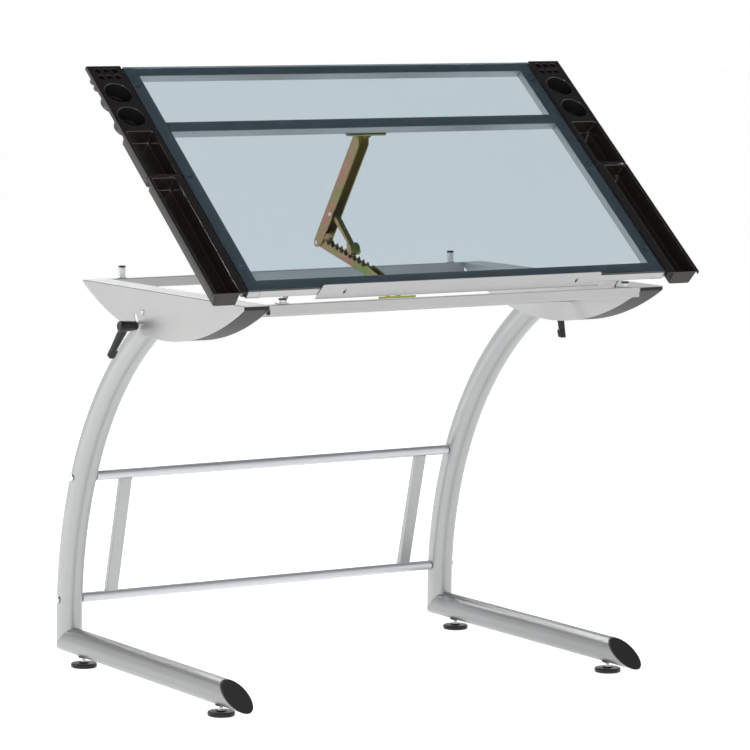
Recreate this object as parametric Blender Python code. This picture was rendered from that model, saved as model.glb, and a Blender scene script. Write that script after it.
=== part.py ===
"""Glass-topped tilting drafting table, in metres.

+X is the user's right, -Y is the side the user stands on, +Z is up. The origin is on the
floor, at the middle of the table's bounding box.
"""

import bmesh
import bpy
from math import atan2, cos, hypot, pi, radians, sin, sqrt
from mathutils import Matrix, Vector

GAP = 0.0003                     # clearance between pieces that touch

# ---- base -------------------------------------------------------------------------------
Y0 = 0.0289                      # the base's datum (between its levelling feet) from the origin
LEG_X = 0.4255                   # leg centre from the middle of the table
TUBE_R = 0.0250
TUBE_WALL = 0.0018
ARC_R = 0.7066                   # the leg's centre line is one arc, upright at its foot
ARC_Y = Y0 - 0.3760
ARC_Z = 0.0820
LEG_TOP = radians(65.0)
FOOT_Z = 0.0445                  # foot tube's axis above the floor
FOOT_REAR_Y = ARC_Y + ARC_R      # mitre corner of foot tube and leg
FOOT_FRONT_Y = Y0 - 0.3230
TOE_SLOPE = 1.55                 # how far the toe's cut runs forward for each metre down
RAIL_R = 0.0095
RAIL_Z = {"upper": 0.3700, "lower": 0.1245}
SLAT_X = 0.3355
SLAT_W = 0.0250
SLAT_T = 0.0120
LEVELLER_Y = 0.2695              # levelling feet, before and behind the datum
PAD_R = 0.0252

# ---- head: the two housings and the crossbars between them ------------------------------
PIVOT_Y, PIVOT_Z = Y0 - 0.0200, 0.7110         # pivot screw
STUD_Y, STUD_Z = Y0 - 0.0065, 0.6855           # clamp stud, in the arc slot
LEVER_ANGLE = {"left": radians(-61.0), "right": radians(-86.0)}
HEAD_SWING = radians(45.0)       # how far the head swings back on the pivot screws
HEAD_TOP = 0.7530
HEAD_FRONT = Y0 - 0.3947
BELLY_R = 0.6179                 # underside of a housing, one arc
BELLY_Y, BELLY_Z = Y0 - 0.0919, 1.2836
BELLY_END = Y0 - 0.1650          # where the dark front strip ends
SHEET = 0.0015
PANEL_IN, PANEL_OUT = 0.4000, 0.4510           # inside faces of the inner and outer panel
BAR_H, BAR_D = 0.0190, 0.0160    # crossbar section, height and depth
FRONT_BAR_Y = Y0 - 0.3865
REAR_BAR_Y = Y0 + 0.2165
MID_BAR_Y, MID_BAR_Z = Y0 - 0.1700, 0.7170
POST_X = 0.3700
REAR_POST_TOP = 0.7770
FRONT_POST_TOP = 0.7637

# ---- board: tilts on two pins behind the front crossbar ---------------------------------
TILT = radians(38.5)
HINGE_Y, HINGE_Z = Y0 - 0.3709, 0.7483
FRAME_W, FRAME_D = 0.8980, 0.6030
FRAME_U = -0.0075                # frame's front face, from the hinge axis, up the slope
FRAME_H = 0.0292                 # frame's underside above the hinge axis, square to the board
FRAME_T = 0.0155
MEMBER_WALL = 0.0015
SIDE_W = 0.0270
FRONT_W, CROSS_W, REAR_W = 0.0265, 0.0268, 0.0230
CROSS_U = 0.4237                 # cross member's front face from the frame's front face
GLASS_W, GLASS_T = 0.9020, 0.0050
PAD_US = (0.0580, 0.3040, 0.5545)
PAD_X = 0.4365
GLASS_TOP = FRAME_H + FRAME_T + GAP + GLASS_T
LEDGE_TRAVEL = 0.0060            # how far the pencil ledge slides down, until it is level with the glass

# ---- trays ------------------------------------------------------------------------------
TRAY_IN, TRAY_OUT = 0.4527, 0.5235             # edges of a tray's rim
TRAY_WALL = 0.0022
TRAY_DEPTH = 0.0315
TROUGH_IN, TROUGH_OUT = 0.4670, 0.5190
CUP_R, CUP_X = 0.0260, 0.4875
CUP_US = (0.4650, 0.5310)
BOX_US = (0.3075, 0.4240)
PEN_R = 0.0060
PEN_XS = (0.4700, 0.4870, 0.5040)
PEN_US = (0.5752, 0.5936)

# ---- ratchet support --------------------------------------------------------------------
FOOT_PIN = (Y0 - 0.1435, 0.7545)               # lower arm on the middle crossbar
ELBOW = (Y0 + 0.0997, 0.8150)
TOP_PIN_U, TOP_PIN_H = 0.4275, 0.0167          # upper arm under the cross member
TOOTH_PITCH, TOOTH_COUNT, TOOTH_START = 0.0165, 9, 0.0300


# ---- scene and materials ----------------------------------------------------------------
for old in list(bpy.data.objects):
    bpy.data.objects.remove(old, do_unlink=True)


def material(name, colour, roughness, metallic=0.0, transmission=0.0):
    m = bpy.data.materials.new(name)
    m.use_nodes = True
    p = m.node_tree.nodes["Principled BSDF"]
    p.inputs["Base Color"].default_value = (*colour, 1.0)
    p.inputs["Roughness"].default_value = roughness
    p.inputs["Metallic"].default_value = metallic
    p.inputs["Transmission Weight"].default_value = transmission
    return m


SILVER = material("silver_paint", (0.56, 0.56, 0.55), 0.38, 0.6)
CHARCOAL = material("charcoal_paint", (0.075, 0.08, 0.088), 0.5)
GLASS = material("tinted_glass", (0.52, 0.64, 0.70), 0.05, 0.0, 0.9)
BLACK = material("black_plastic", (0.022, 0.019, 0.017), 0.35)
RUBBER = material("black_rubber", (0.02, 0.02, 0.02), 0.8)
CLEAR = material("clear_vinyl", (0.55, 0.62, 0.66), 0.2, 0.0, 0.6)
ZINC = material("yellow_zinc", (0.60, 0.52, 0.25), 0.35, 0.9)
BRIGHT = material("bright_steel", (0.66, 0.66, 0.66), 0.28, 1.0)


# ---- mesh helpers -----------------------------------------------------------------------
def empty(name, y, z, tilt=0.0, parent=None):
    """A joint axis along X, at (y, z), tilted by an angle about X."""
    e = bpy.data.objects.new(name, None)
    bpy.context.collection.objects.link(e)
    world = Matrix.Translation((0.0, y, z)) @ Matrix.Rotation(tilt, 4, "X")
    e.parent = parent
    e.matrix_world = world
    bpy.context.view_layer.update()
    return e


def finish(name, bm, mat, parent=None, local=True):
    """A mesh object. A local mesh is in its parent's axes; another is in world axes."""
    bmesh.ops.remove_doubles(bm, verts=bm.verts, dist=1e-7)
    bmesh.ops.recalc_face_normals(bm, faces=bm.faces)
    me = bpy.data.meshes.new(name)
    bm.to_mesh(me)
    bm.free()
    me.materials.append(mat)
    me.shade_smooth()
    me.set_sharp_from_angle(angle=radians(32))
    o = bpy.data.objects.new(name, me)
    bpy.context.collection.objects.link(o)
    if parent is not None:
        o.parent = parent
        if not local:
            o.matrix_parent_inverse = parent.matrix_world.inverted()
    bpy.context.view_layer.update()
    return o


def loft(rings, closed=False):
    """Skin through rings of equal length: capped at both ends, or closed on itself."""
    bm = bmesh.new()
    rows = [[bm.verts.new(p) for p in ring] for ring in rings]
    n = len(rows[0])
    pairs = list(zip(rows, rows[1:]))
    if closed:
        pairs.append((rows[-1], rows[0]))
    for a, b in pairs:
        for i in range(n):
            bm.faces.new((a[i], a[(i + 1) % n], b[(i + 1) % n], b[i]))
    if not closed:
        bm.faces.new(rows[0])
        bm.faces.new(rows[-1])
    return bm


def prism(outline, x0, x1):
    """A (y, z) outline, extruded along X."""
    return loft([[(x, y, z) for y, z in outline] for x in (x0, x1)])


def plate(outline, z0, z1):
    """An (x, y) outline, extruded along Z."""
    return loft([[(x, y, z) for x, y in outline] for z in (z0, z1)])


def box(x0, x1, y0, y1, z0, z1):
    return plate([(x0, y0), (x1, y0), (x1, y1), (x0, y1)], z0, z1)


def ring(centre, axis, r, n=16):
    """n points round an axis: along X, Y or Z."""
    cx, cy, cz = centre
    out = []
    for i in range(n):
        c, s = r * cos(2 * pi * i / n), r * sin(2 * pi * i / n)
        out.append({"X": (cx, cy + c, cz + s), "Y": (cx + c, cy, cz + s), "Z": (cx + c, cy + s, cz)}[axis])
    return out


def turned(axis, at, profile, n=16):
    """A turned solid. The profile is (distance along the axis, radius)."""
    i = "XYZ".index(axis)
    rings = []
    for d, r in profile:
        c = list(at)
        c[i] += d
        rings.append(ring(c, axis, r, n))
    return loft(rings)


def arc(cy, cz, r, a0, a1, n):
    """Points on an arc, from angle a0 to a1."""
    turns = [a0 + (a1 - a0) * i / n for i in range(n + 1)]
    return [(cy + r * cos(a), cz + r * sin(a)) for a in turns]


def rounded(x0, x1, y0, y1, r, n=3):
    """A rectangle's outline with rounded corners."""
    out = []
    for k, (cx, cy) in enumerate(((x1 - r, y1 - r), (x0 + r, y1 - r), (x0 + r, y0 + r), (x1 - r, y0 + r))):
        out += arc(cx, cy, r, k * pi / 2, (k + 1) * pi / 2, n)
    return out


def combine(target, tool, operation):
    """Cut the tool from the target, or join it to it, and leave one plain mesh."""
    mod = target.modifiers.new(operation.lower(), "BOOLEAN")
    mod.operation = operation
    mod.solver = "EXACT"
    mod.object = tool
    bpy.context.view_layer.update()
    graph = bpy.context.evaluated_depsgraph_get()
    me = bpy.data.meshes.new_from_object(target.evaluated_get(graph))
    target.modifiers.clear()
    target.data = me
    me.shade_smooth()
    me.set_sharp_from_angle(angle=radians(32))
    bpy.data.objects.remove(tool, do_unlink=True)
    return target


def tool(target, bm):
    """A cutter or an addition in the target's own axes."""
    bmesh.ops.recalc_face_normals(bm, faces=bm.faces)
    me = bpy.data.meshes.new("tool")
    bm.to_mesh(me)
    bm.free()
    o = bpy.data.objects.new("tool", me)
    bpy.context.collection.objects.link(o)
    o.matrix_world = target.matrix_world
    return o


def cut(target, *shapes):
    for bm in shapes:
        combine(target, tool(target, bm), "DIFFERENCE")
    return target


def join(target, *shapes):
    for bm in shapes:
        combine(target, tool(target, bm), "UNION")
    return target


# ---- base -------------------------------------------------------------------------------
def tube_rings(stations, r, x, n=16):
    """Rings of a tube that runs in a plane x = const: (y, z, direction angle) at each station."""
    rings = []
    for y, z, a in stations:
        row = []
        for i in range(n):
            c, s = r * cos(2 * pi * i / n), r * sin(2 * pi * i / n)
            row.append((x + c, y - s * sin(a), z + s * cos(a)))
        rings.append(row)
    return rings


def to_mitre(row, along, side):
    """Slide a ring along its tube to the 45 degree joint of leg and foot tube."""
    out = []
    for x, y, z in row:
        if along == "z":
            z = FOOT_Z - (y - FOOT_REAR_Y) + side
        else:
            y = FOOT_REAR_Y - (z - FOOT_Z) + side
        out.append((x, y, z))
    return out


def leg(name, x):
    """A curved leg tube: upright where it meets the foot tube, then one arc up into the head."""
    steps = 12
    stations = [(FOOT_REAR_Y, FOOT_Z, pi / 2)]
    for i in range(steps + 1):
        a = LEG_TOP * i / steps
        stations.append((ARC_Y + ARC_R * cos(a), ARC_Z + ARC_R * sin(a), a + pi / 2))
    outer = tube_rings(stations, TUBE_R, x)
    inner = tube_rings(stations, TUBE_R - TUBE_WALL, x)
    outer[0] = to_mitre(outer[0], "z", GAP)
    inner[0] = to_mitre(inner[0], "z", GAP)
    o = finish(name, loft(outer + inner[::-1], closed=True), SILVER)
    side = 1 if x > 0 else -1
    cut(o, turned("X", (x - side * 0.04, PIVOT_Y, PIVOT_Z), ((0, 0.0029), (side * 0.08, 0.0029)), 16))
    cut(o, turned("X", (x, STUD_Y, STUD_Z), ((0, 0.0044), (side * 0.05, 0.0044)), 16))
    for z in RAIL_Z.values():
        y = ARC_Y + sqrt(ARC_R ** 2 - (z - ARC_Z) ** 2)
        cut(o, turned("X", (x - 0.04, y, z), ((0, 0.0034), (0.08, 0.0034)), 12))
    return o


def foot_tube(name, x):
    """A straight tube on the levelling feet, mitred at the rear and cut on a slant at the toe."""
    stations = [(FOOT_FRONT_Y, FOOT_Z, 0.0), (FOOT_REAR_Y, FOOT_Z, 0.0)]
    skins = []
    for r in (TUBE_R, TUBE_R - TUBE_WALL):
        front, rear = tube_rings(stations, r, x)
        front = [(px, FOOT_FRONT_Y + TOE_SLOPE * (pz - FOOT_Z), pz) for px, py, pz in front]
        skins.append([front, to_mitre(rear, "y", -GAP)])
    o = finish(name, loft(skins[0] + skins[1][::-1], closed=True), SILVER)
    for s in (-1, 1):
        cut(o, turned("Z", (x, Y0 + s * LEVELLER_Y, 0.0), ((0, 0.0045), (FOOT_Z, 0.0045)), 12))
    return o


def foot_cap(name, x):
    """A plastic plug in the toe: a slanted oval plate with a stub inside the tube."""
    rings = []
    stub = TUBE_R - TUBE_WALL - GAP
    for r, d in ((TUBE_R, -0.0065), (TUBE_R, -GAP), (stub, -GAP), (stub, 0.0160)):
        (row,) = tube_rings([(FOOT_FRONT_Y, FOOT_Z, 0.0)], r, x)
        rings.append([(px, FOOT_FRONT_Y + TOE_SLOPE * (pz - FOOT_Z) + d, pz) for px, py, pz in row])
    return finish(name, loft(rings), BLACK)


def leveller(name, x, y):
    """A levelling foot: a disc on the floor and a threaded stem up into the foot tube."""
    axis = empty(name + "_axis", y, 0.0)
    profile = ((0.0, PAD_R - 0.001), (0.001, PAD_R), (0.007, PAD_R), (0.0095, PAD_R - 0.004), (0.0095, 0.007),
               (0.0125, 0.007), (0.0125, 0.004), (0.047, 0.004))
    return finish(name, turned("Z", (x, 0.0, 0.0), profile), RUBBER, axis)


def rail(name, z):
    """A round rail between the legs, with the tie rod and nuts that hold it through them."""
    y = ARC_Y + sqrt(ARC_R ** 2 - (z - ARC_Z) ** 2)
    inside = LEG_X - TUBE_R - GAP
    outside = LEG_X + TUBE_R + GAP
    rod, nut = 0.0030, 0.0075
    half = [(inside, RAIL_R), (inside, rod), (outside, rod), (outside, nut), (outside + 0.003, nut - 0.0005),
            (outside + 0.005, nut - 0.004)]
    profile = [(-d, r) for d, r in reversed(half)] + half
    return finish(name, turned("X", (0.0, y, z), profile), SILVER)


def slat(name, x):
    """A straight flat bar between the rails, leaning as the legs do."""
    rings = []
    for rail_z, s in ((RAIL_Z["lower"], 1), (RAIL_Z["upper"], -1)):
        z = rail_z + s * (RAIL_R + GAP)
        y = ARC_Y + sqrt(ARC_R ** 2 - (rail_z - ARC_Z) ** 2)
        x0, x1 = x - SLAT_W / 2, x + SLAT_W / 2
        y0, y1 = y - SLAT_T / 2, y + SLAT_T / 2
        rings.append([(x0, y0, z), (x1, y0, z), (x1, y1, z), (x0, y1, z)])
    return finish(name, loft(rings), SILVER)


def pivot_screw(name, side):
    """Pan-head screw through the housing and the head of the leg."""
    nut = PANEL_IN - SHEET - GAP
    head = PANEL_OUT + SHEET + GAP
    profile = ((nut - 0.0032, 0.0048), (nut, 0.0048), (nut, 0.0025), (head, 0.0025), (head, 0.0048),
               (head + 0.0015, 0.0044), (head + 0.0025, 0.0030))
    return finish(name, turned("X", (0, PIVOT_Y, PIVOT_Z), [(side * d, r) for d, r in profile], 16), BRIGHT)


def clamp_lever(name, side, angle):
    """A black clamp lever: its steel stud runs through the slot into the leg.

    The angle of the handle is measured from level, towards the rear, and is negative below it.
    """
    axis = empty(name + "_axis", STUD_Y, STUD_Z)
    out = PANEL_OUT + SHEET + GAP
    stud = ((LEG_X + 0.018, 0.0040), (out, 0.0040), (out, 0.0085), (out + 0.002, 0.0085),
            (out + 0.002, 0.0070), (out + 0.004, 0.0070), (out + 0.006, 0.0088), (out + 0.038, 0.0105),
            (out + 0.042, 0.0085))
    o = finish(name, turned("X", (0, 0, 0), [(side * d, r) for d, r in stud]), BLACK, axis)
    down = Vector((0, cos(angle), sin(angle)))
    across = Vector((0, -sin(angle), cos(angle)))
    rings = []
    for d, half, inner, outer in ((-0.0060, 0.0085, 0.0225, 0.0360), (0.0120, 0.0082, 0.0260, 0.0375),
                                  (0.0340, 0.0070, 0.0315, 0.0415), (0.0500, 0.0064, 0.0350, 0.0445),
                                  (0.0520, 0.0066, 0.0325, 0.0449), (0.0630, 0.0070, 0.0345, 0.0470),
                                  (0.0670, 0.0060, 0.0370, 0.0465)):
        mid = down * d + Vector((side * (out + (inner + outer) / 2), 0, 0))
        row = []
        for a in range(8):
            c, s = cos(2 * pi * (a + 0.5) / 8), sin(2 * pi * (a + 0.5) / 8)
            row.append(mid + across * (c * half * 1.06) + Vector((side * s * (outer - inner) * 0.53, 0, 0)))
        rings.append(row)
    return join(o, loft(rings))


# ---- head -------------------------------------------------------------------------------
def belly(y, r=BELLY_R):
    return BELLY_Z - sqrt(r ** 2 - (y - BELLY_Y) ** 2)


def lens():
    """Side outline of a housing: flat on top, one arc below, short vertical front edge."""
    rear = BELLY_Y + sqrt(BELLY_R ** 2 - (BELLY_Z - HEAD_TOP) ** 2)
    n = 20
    under = [HEAD_FRONT + (rear - HEAD_FRONT) * i / n for i in range(n)]
    return [(y, belly(y)) for y in under] + [(rear, HEAD_TOP), (HEAD_FRONT, HEAD_TOP)]


def slot_arc(half):
    """The clamp slot's outline: an arc about the pivot screw."""
    dy, dz = STUD_Y - PIVOT_Y, STUD_Z - PIVOT_Z
    r, a = hypot(dy, dz), atan2(dz, dy)
    far = a + HEAD_SWING
    out = arc(PIVOT_Y, PIVOT_Z, r + half, a, far, 6)
    ey, ez = PIVOT_Y + r * cos(far), PIVOT_Z + r * sin(far)
    out += arc(ey, ez, half, far, far + pi, 6)[1:-1]
    out += arc(PIVOT_Y, PIVOT_Z, r - half, far, a, 6)
    out += arc(STUD_Y, STUD_Z, half, a + pi, a + 2 * pi, 6)[1:-1]
    return out


def outer_panel(name, side, axis):
    o = finish(name, prism(lens(), side * PANEL_OUT, side * (PANEL_OUT + SHEET)), SILVER, axis, local=False)
    x = side * (PANEL_OUT - 0.005)
    shapes = (prism(slot_arc(0.0045), x, side * (PANEL_OUT + 0.008)),
              turned("X", (x, PIVOT_Y, PIVOT_Z), ((0, 0.0029), (side * 0.013, 0.0029)), 16))
    for bm in shapes:
        cut(o, bm)
    return o


def inner_shell(name, side, axis):
    """Inner panel and top plate, bent from one sheet."""
    top = HEAD_TOP - SHEET
    rear = REAR_BAR_Y + BAR_D / 2
    o = finish(name, prism(lens(), side * (PANEL_IN - SHEET), side * PANEL_IN), SILVER, axis, local=False)
    x0, x1 = sorted((side * (PANEL_IN - SHEET), side * (PANEL_OUT - GAP)))
    join(o, box(x0, x1, HEAD_FRONT, rear, top, HEAD_TOP))
    drill = ((0, 0.0029), (side * 0.02, 0.0029))
    cut(o, turned("X", (side * (PANEL_IN - 0.01), PIVOT_Y, PIVOT_Z), drill, 16))
    return o


def front_strip(name, side, axis):
    """Dark strip that closes the front of a housing's underside."""
    r_in = BELLY_R - SHEET
    n = 10
    front = HEAD_FRONT + GAP
    ys = [front + (BELLY_END - front) * i / n for i in range(n + 1)]
    low = [(y, belly(y) + GAP) for y in ys]
    high = [(y, belly(y, r_in) + GAP) for y in reversed(ys)]
    nose = [(front + SHEET, belly(front + SHEET, r_in) + GAP), (front + SHEET, HEAD_TOP - SHEET - GAP),
            (front, HEAD_TOP - SHEET - GAP)]
    outline = low + high[:-1] + nose
    x0, x1 = side * (PANEL_IN + GAP), side * (PANEL_OUT - GAP)
    return finish(name, prism(outline, x0, x1), CHARCOAL, axis, local=False)


def crossbar(name, y, z, axis):
    """A rectangular steel tube between the inner panels."""
    half = PANEL_IN - SHEET - GAP
    d, h, w = BAR_D / 2, BAR_H / 2, 0.0015
    rings = []
    for x, k in ((-half, 0), (half, 0), (half, w), (-half, w)):
        rings.append([(x, y + s * (d - k), z + t * (h - k)) for s, t in ((-1, -1), (1, -1), (1, 1), (-1, 1))])
    return finish(name, loft(rings, closed=True), SILVER, axis, local=False)


def rear_post(name, x, axis):
    foot = HEAD_TOP + GAP
    top = REAR_POST_TOP - 0.0035
    profile = ((foot, 0.0085), (foot + 0.002, 0.0085), (foot + 0.002, 0.0068), (top, 0.0068))
    return finish(name, turned("Z", (x, REAR_BAR_Y, 0), profile), SILVER, axis, local=False)


def rear_post_cap(name, x, axis):
    top = REAR_POST_TOP
    profile = ((top - 0.0035 + GAP, 0.0070), (top - 0.0008, 0.0070), (top, 0.0060))
    return finish(name, turned("Z", (x, REAR_BAR_Y, 0), profile), RUBBER, axis, local=False)


def hinge_bracket(name, side, axis):
    """Bracket on the front crossbar: its pin carries the board, its post is the upper stop."""
    top = HEAD_TOP + GAP
    back = FRONT_BAR_Y + BAR_D / 2 + GAP
    x0, x1 = 0.3586, 0.3612
    outline = ((x0, back + 0.0120), (x0, back - 0.0140), (0.3800, back - 0.0140), (0.3800, back),
               (x1, back), (x1, back + 0.0120))
    blank = plate([(side * x, y) for x, y in outline], top, top + 0.0020)
    o = finish(name, blank, SILVER, axis, local=False)
    cheek = [(back, 0.7360), (back + 0.0150, 0.7360), (back + 0.0150, 0.7550), (back, top + 0.0020)]
    join(o, prism(cheek, side * x0, side * x1))
    pin = [(side * d, r) for d, r in ((0.3535, 0.0045), (0.3545, 0.0045), (0.3545, 0.0030), (0.3600, 0.0030))]
    join(o, turned("X", (0, HINGE_Y, HINGE_Z), pin, 16))
    post_y = FRONT_BAR_Y - 0.0010
    post = ((top + 0.001, 0.0060), (FRONT_POST_TOP - 0.0032, 0.0060), (FRONT_POST_TOP - 0.0032, 0.0072),
            (FRONT_POST_TOP, 0.0072))
    return join(o, turned("Z", (side * POST_X, post_y, 0), post))


def base_bracket(name, axis):
    """Plate on the middle crossbar with a turned-up front edge and two ears for the lower arm."""
    z = MID_BAR_Z + BAR_H / 2 + GAP
    y0, y1 = MID_BAR_Y - 0.0090, MID_BAR_Y + 0.0080
    o = finish(name, plate(rounded(-0.0440, 0.0440, y0, y1, 0.003), z, z + 0.0030), ZINC, axis, local=False)
    join(o, box(-0.0405, 0.0405, y0, y0 + 0.0022, z + 0.0010, z + 0.0085))
    ey, ez = FOOT_PIN
    ear = [(y0 + 0.002, z + 0.001), (y1, z + 0.001)] + arc(ey, ez, 0.0085, radians(-60), radians(100), 8)
    for s in (-1, 1):
        join(o, prism(ear, s * 0.0100, s * 0.0122))
        join(o, turned("X", (0, ey, ez), ((s * 0.0120, 0.0045), (s * 0.0138, 0.0032)), 14))
    return o


# ---- board ------------------------------------------------------------------------------
def member(name, outline_x, u0, u1, axis):
    """A flat rectangular tube of the board's frame, open at both ends."""
    x0, x1 = outline_x
    z0, z1 = FRAME_H, FRAME_H + FRAME_T
    w = MEMBER_WALL
    u0, u1 = u0 + FRAME_U, u1 + FRAME_U
    long_x = (x1 - x0) > (u1 - u0)
    rings = []
    for end, k in ((0, 0), (1, 0), (1, w), (0, w)):
        if long_x:
            x = (x0, x1)[end]
            rings.append([(x, u0 + k, z0 + k), (x, u1 - k, z0 + k), (x, u1 - k, z1 - k), (x, u0 + k, z1 - k)])
        else:
            u = (u0, u1)[end]
            rings.append([(x0 + k, u, z0 + k), (x1 - k, u, z0 + k), (x1 - k, u, z1 - k), (x0 + k, u, z1 - k)])
    return finish(name, loft(rings, closed=True), SILVER, axis)


def side_member(name, side, axis):
    """Side tube with the hanger strip for the trays and three seats for the suction pads."""
    x1 = FRAME_W / 2
    xs = sorted((side * (x1 - SIDE_W), side * x1))
    o = member(name, xs, 0.0, FRAME_D, axis)
    z0, z1 = FRAME_H, FRAME_H + FRAME_T
    u0, u1 = FRAME_U + 0.004, FRAME_U + FRAME_D - 0.006
    web = sorted((side * (x1 - 0.0008), side * 0.4570))
    strip = sorted((side * 0.4556, side * 0.4570))
    join(o, box(web[0], web[1], u0, u1, z0, z0 + 0.0015))
    join(o, box(strip[0], strip[1], u0, u1, z0, GLASS_TOP - 0.0032))
    for u in PAD_US:
        cut(o, turned("Z", (side * PAD_X, FRAME_U + u, z1 - 0.005), ((0, 0.0080), (0.010, 0.0080)), 18))
    return o


def front_member(name, axis):
    """Front tube with the two hinge ears under it."""
    x1 = FRAME_W / 2 - SIDE_W - GAP
    o = member(name, (-x1, x1), 0.0, FRONT_W, axis)
    ear = arc(0.0, 0.0, 0.0055, pi, 2 * pi, 6) + [(0.0125, 0.0130), (0.0175, FRAME_H + 0.0007)]
    ear += [(0.0010, FRAME_H + 0.0007), (0.0010, 0.0060)] + arc(0.0, 0.0, 0.0055, radians(120), pi, 3)[:-1]
    for s in (-1, 1):
        join(o, prism(ear, s * 0.3550, s * 0.3580))
        cut(o, turned("X", (0, 0, 0), ((s * 0.3500, 0.0033), (s * 0.3600, 0.0033)), 16))
        y = FRAME_U
        cut(o, turned("Y", (s * 0.2500, y - 0.003, GLASS_TOP - 0.0150), ((0, 0.0022), (0.010, 0.0022)), 12))
    return o


def suction_pad(name, side, u, axis):
    """Clear cup in a seat of the side member, its top against the glass."""
    top = FRAME_H + FRAME_T + 0.0001
    profile = ((top - 0.0042, 0.0050), (top - 0.0020, 0.0052), (top - 0.0004, 0.0076), (top, 0.0076))
    return finish(name, turned("Z", (side * PAD_X, FRAME_U + u, 0), profile, 18), CLEAR, axis)


def end_plug(name, side, axis):
    """Black plug in the rear end of a side member."""
    u = FRAME_U + FRAME_D
    x = sorted((side * (FRAME_W / 2 - SIDE_W), side * FRAME_W / 2))
    z0, z1 = FRAME_H, FRAME_H + FRAME_T
    k = MEMBER_WALL + GAP
    rings = []
    for d, s in ((-0.012, k), (GAP, k), (GAP, 0.0), (0.002, 0.0), (0.003, 0.001)):
        corners = ((x[0] + s, z0 + s), (x[1] - s, z0 + s), (x[1] - s, z1 - s), (x[0] + s, z1 - s))
        rings.append([(cx, u + d, cz) for cx, cz in corners])
    return finish(name, loft(rings), BLACK, axis)


def glass_panel(name, axis):
    z0 = FRAME_H + FRAME_T + GAP
    e = 0.0006
    rings = []
    for z, k in ((z0, e), (z0 + e, 0), (GLASS_TOP - e, 0), (GLASS_TOP, e)):
        pts = rounded(-GLASS_W / 2 + k, GLASS_W / 2 - k, FRAME_U + k, FRAME_U + FRAME_D - k, 0.003 - k / 2, 2)
        rings.append([(x, y, z) for x, y in pts])
    return finish(name, loft(rings), GLASS, axis)


def ledge(name, axis):
    """Pencil ledge: a plate on the frame's front face, slotted to slide up and down."""
    slide = empty(name + "_slide", 0, 0)
    slide.parent = axis
    slide.matrix_parent_inverse = Matrix.Identity(4)
    slide.matrix_basis = Matrix.Identity(4)
    y1 = FRAME_U - GAP
    y0 = y1 - 0.0020
    top, bottom = GLASS_TOP + 0.0060, GLASS_TOP - 0.0285
    pts = [(-0.3055, bottom), (0.3055, bottom)]
    pts += arc(0.2945, top - 0.0060, 0.0060, radians(-12), pi / 2, 5)
    pts += [(-x, z) for x, z in reversed(arc(0.2945, top - 0.0060, 0.0060, radians(-12), pi / 2, 5))]
    rings = [[(x, y, z) for x, z in pts] for y in (y0, y1)]
    o = finish(name, loft(rings), SILVER, slide)
    for s in (-1, 1):
        z = GLASS_TOP - 0.0150
        r = 0.0026
        hole = arc(s * 0.2500, z + LEDGE_TRAVEL, r, 0.0, pi, 6) + arc(s * 0.2500, z, r, pi, 2 * pi, 6)
        cut(o, loft([[(x, y, zz) for x, zz in hole] for y in (y0 - 0.002, y1 + 0.002)]))
    return o


def ledge_screw(name, side, axis):
    y = FRAME_U - GAP
    face = -0.0020 - GAP
    profile = ((-0.0040, 0.0030), (-0.0034, 0.0043), (face, 0.0045), (face, 0.0019), (0.0065, 0.0019))
    return finish(name, turned("Y", (side * 0.2500, y, GLASS_TOP - 0.0150), profile, 16), BRIGHT, axis)


def top_bracket(name, axis):
    """Plate under the cross member with two ears and the pin of the upper arm."""
    z = FRAME_H - GAP
    u = TOP_PIN_U
    blank = plate(rounded(-0.0440, 0.0440, u - 0.0140, u + 0.0130, 0.003), z - 0.0030, z)
    o = finish(name, blank, ZINC, axis)
    ear = [(u + 0.0100, z - 0.001), (u - 0.0110, z - 0.001)]
    ear += arc(u, TOP_PIN_H, 0.0075, radians(190), radians(360), 8)
    for s in (-1, 1):
        join(o, prism(ear, s * 0.0125, s * 0.0145))
    pin = ((-0.0162, 0.0040), (-0.0140, 0.0044), (-0.0140, 0.0030), (0.0140, 0.0030),
           (0.0140, 0.0044), (0.0162, 0.0040))
    return join(o, turned("X", (0, u, TOP_PIN_H), pin, 14))


# ---- trays ------------------------------------------------------------------------------
def tray_axis(name, u, axis):
    lift = empty(name + "_lift", 0, 0)
    lift.parent = axis
    lift.matrix_parent_inverse = Matrix.Identity(4)
    lift.matrix_basis = Matrix.Translation((0, u, 0))
    bpy.context.view_layer.update()
    return lift


def rim(side, u0, u1):
    """Rim of a tray in section: hook over the hanger strip, flat top, down-turned outer lip."""
    t = TRAY_WALL
    top = GLASS_TOP
    x0, x1 = TRAY_IN, TRAY_OUT
    hook = [(x0, top), (x0, top - 0.0140), (x0 + 0.0022, top - 0.0140), (x0 + 0.0022, top - t)]
    lip = [(x1 - 0.0015, top - t), (x1 - 0.0015, top - 0.0070), (x1, top - 0.0070), (x1, top - 0.001)]
    section = hook + lip + [(x1 - 0.001, top)]
    return loft([[(side * x, u, z) for x, z in section] for u in (u0, u1)])


def trough(side, u0, u1, x0, x1, depth, wall=0.0, draft=0.0050):
    """A box with a sloping outer wall, for a tray's body or the hollow in it."""
    top = GLASS_TOP
    low = top - depth
    rings = []
    for z, d in ((low, draft), (top + (0.004 if wall else -0.001), 0.0)):
        a, b = x0 + wall, x1 - wall - d
        pts = rounded(a, b, u0 + wall, u1 - wall, 0.0040, 2)
        rings.append([(side * x, y, z) for x, y in pts])
    return loft(rings)


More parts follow.
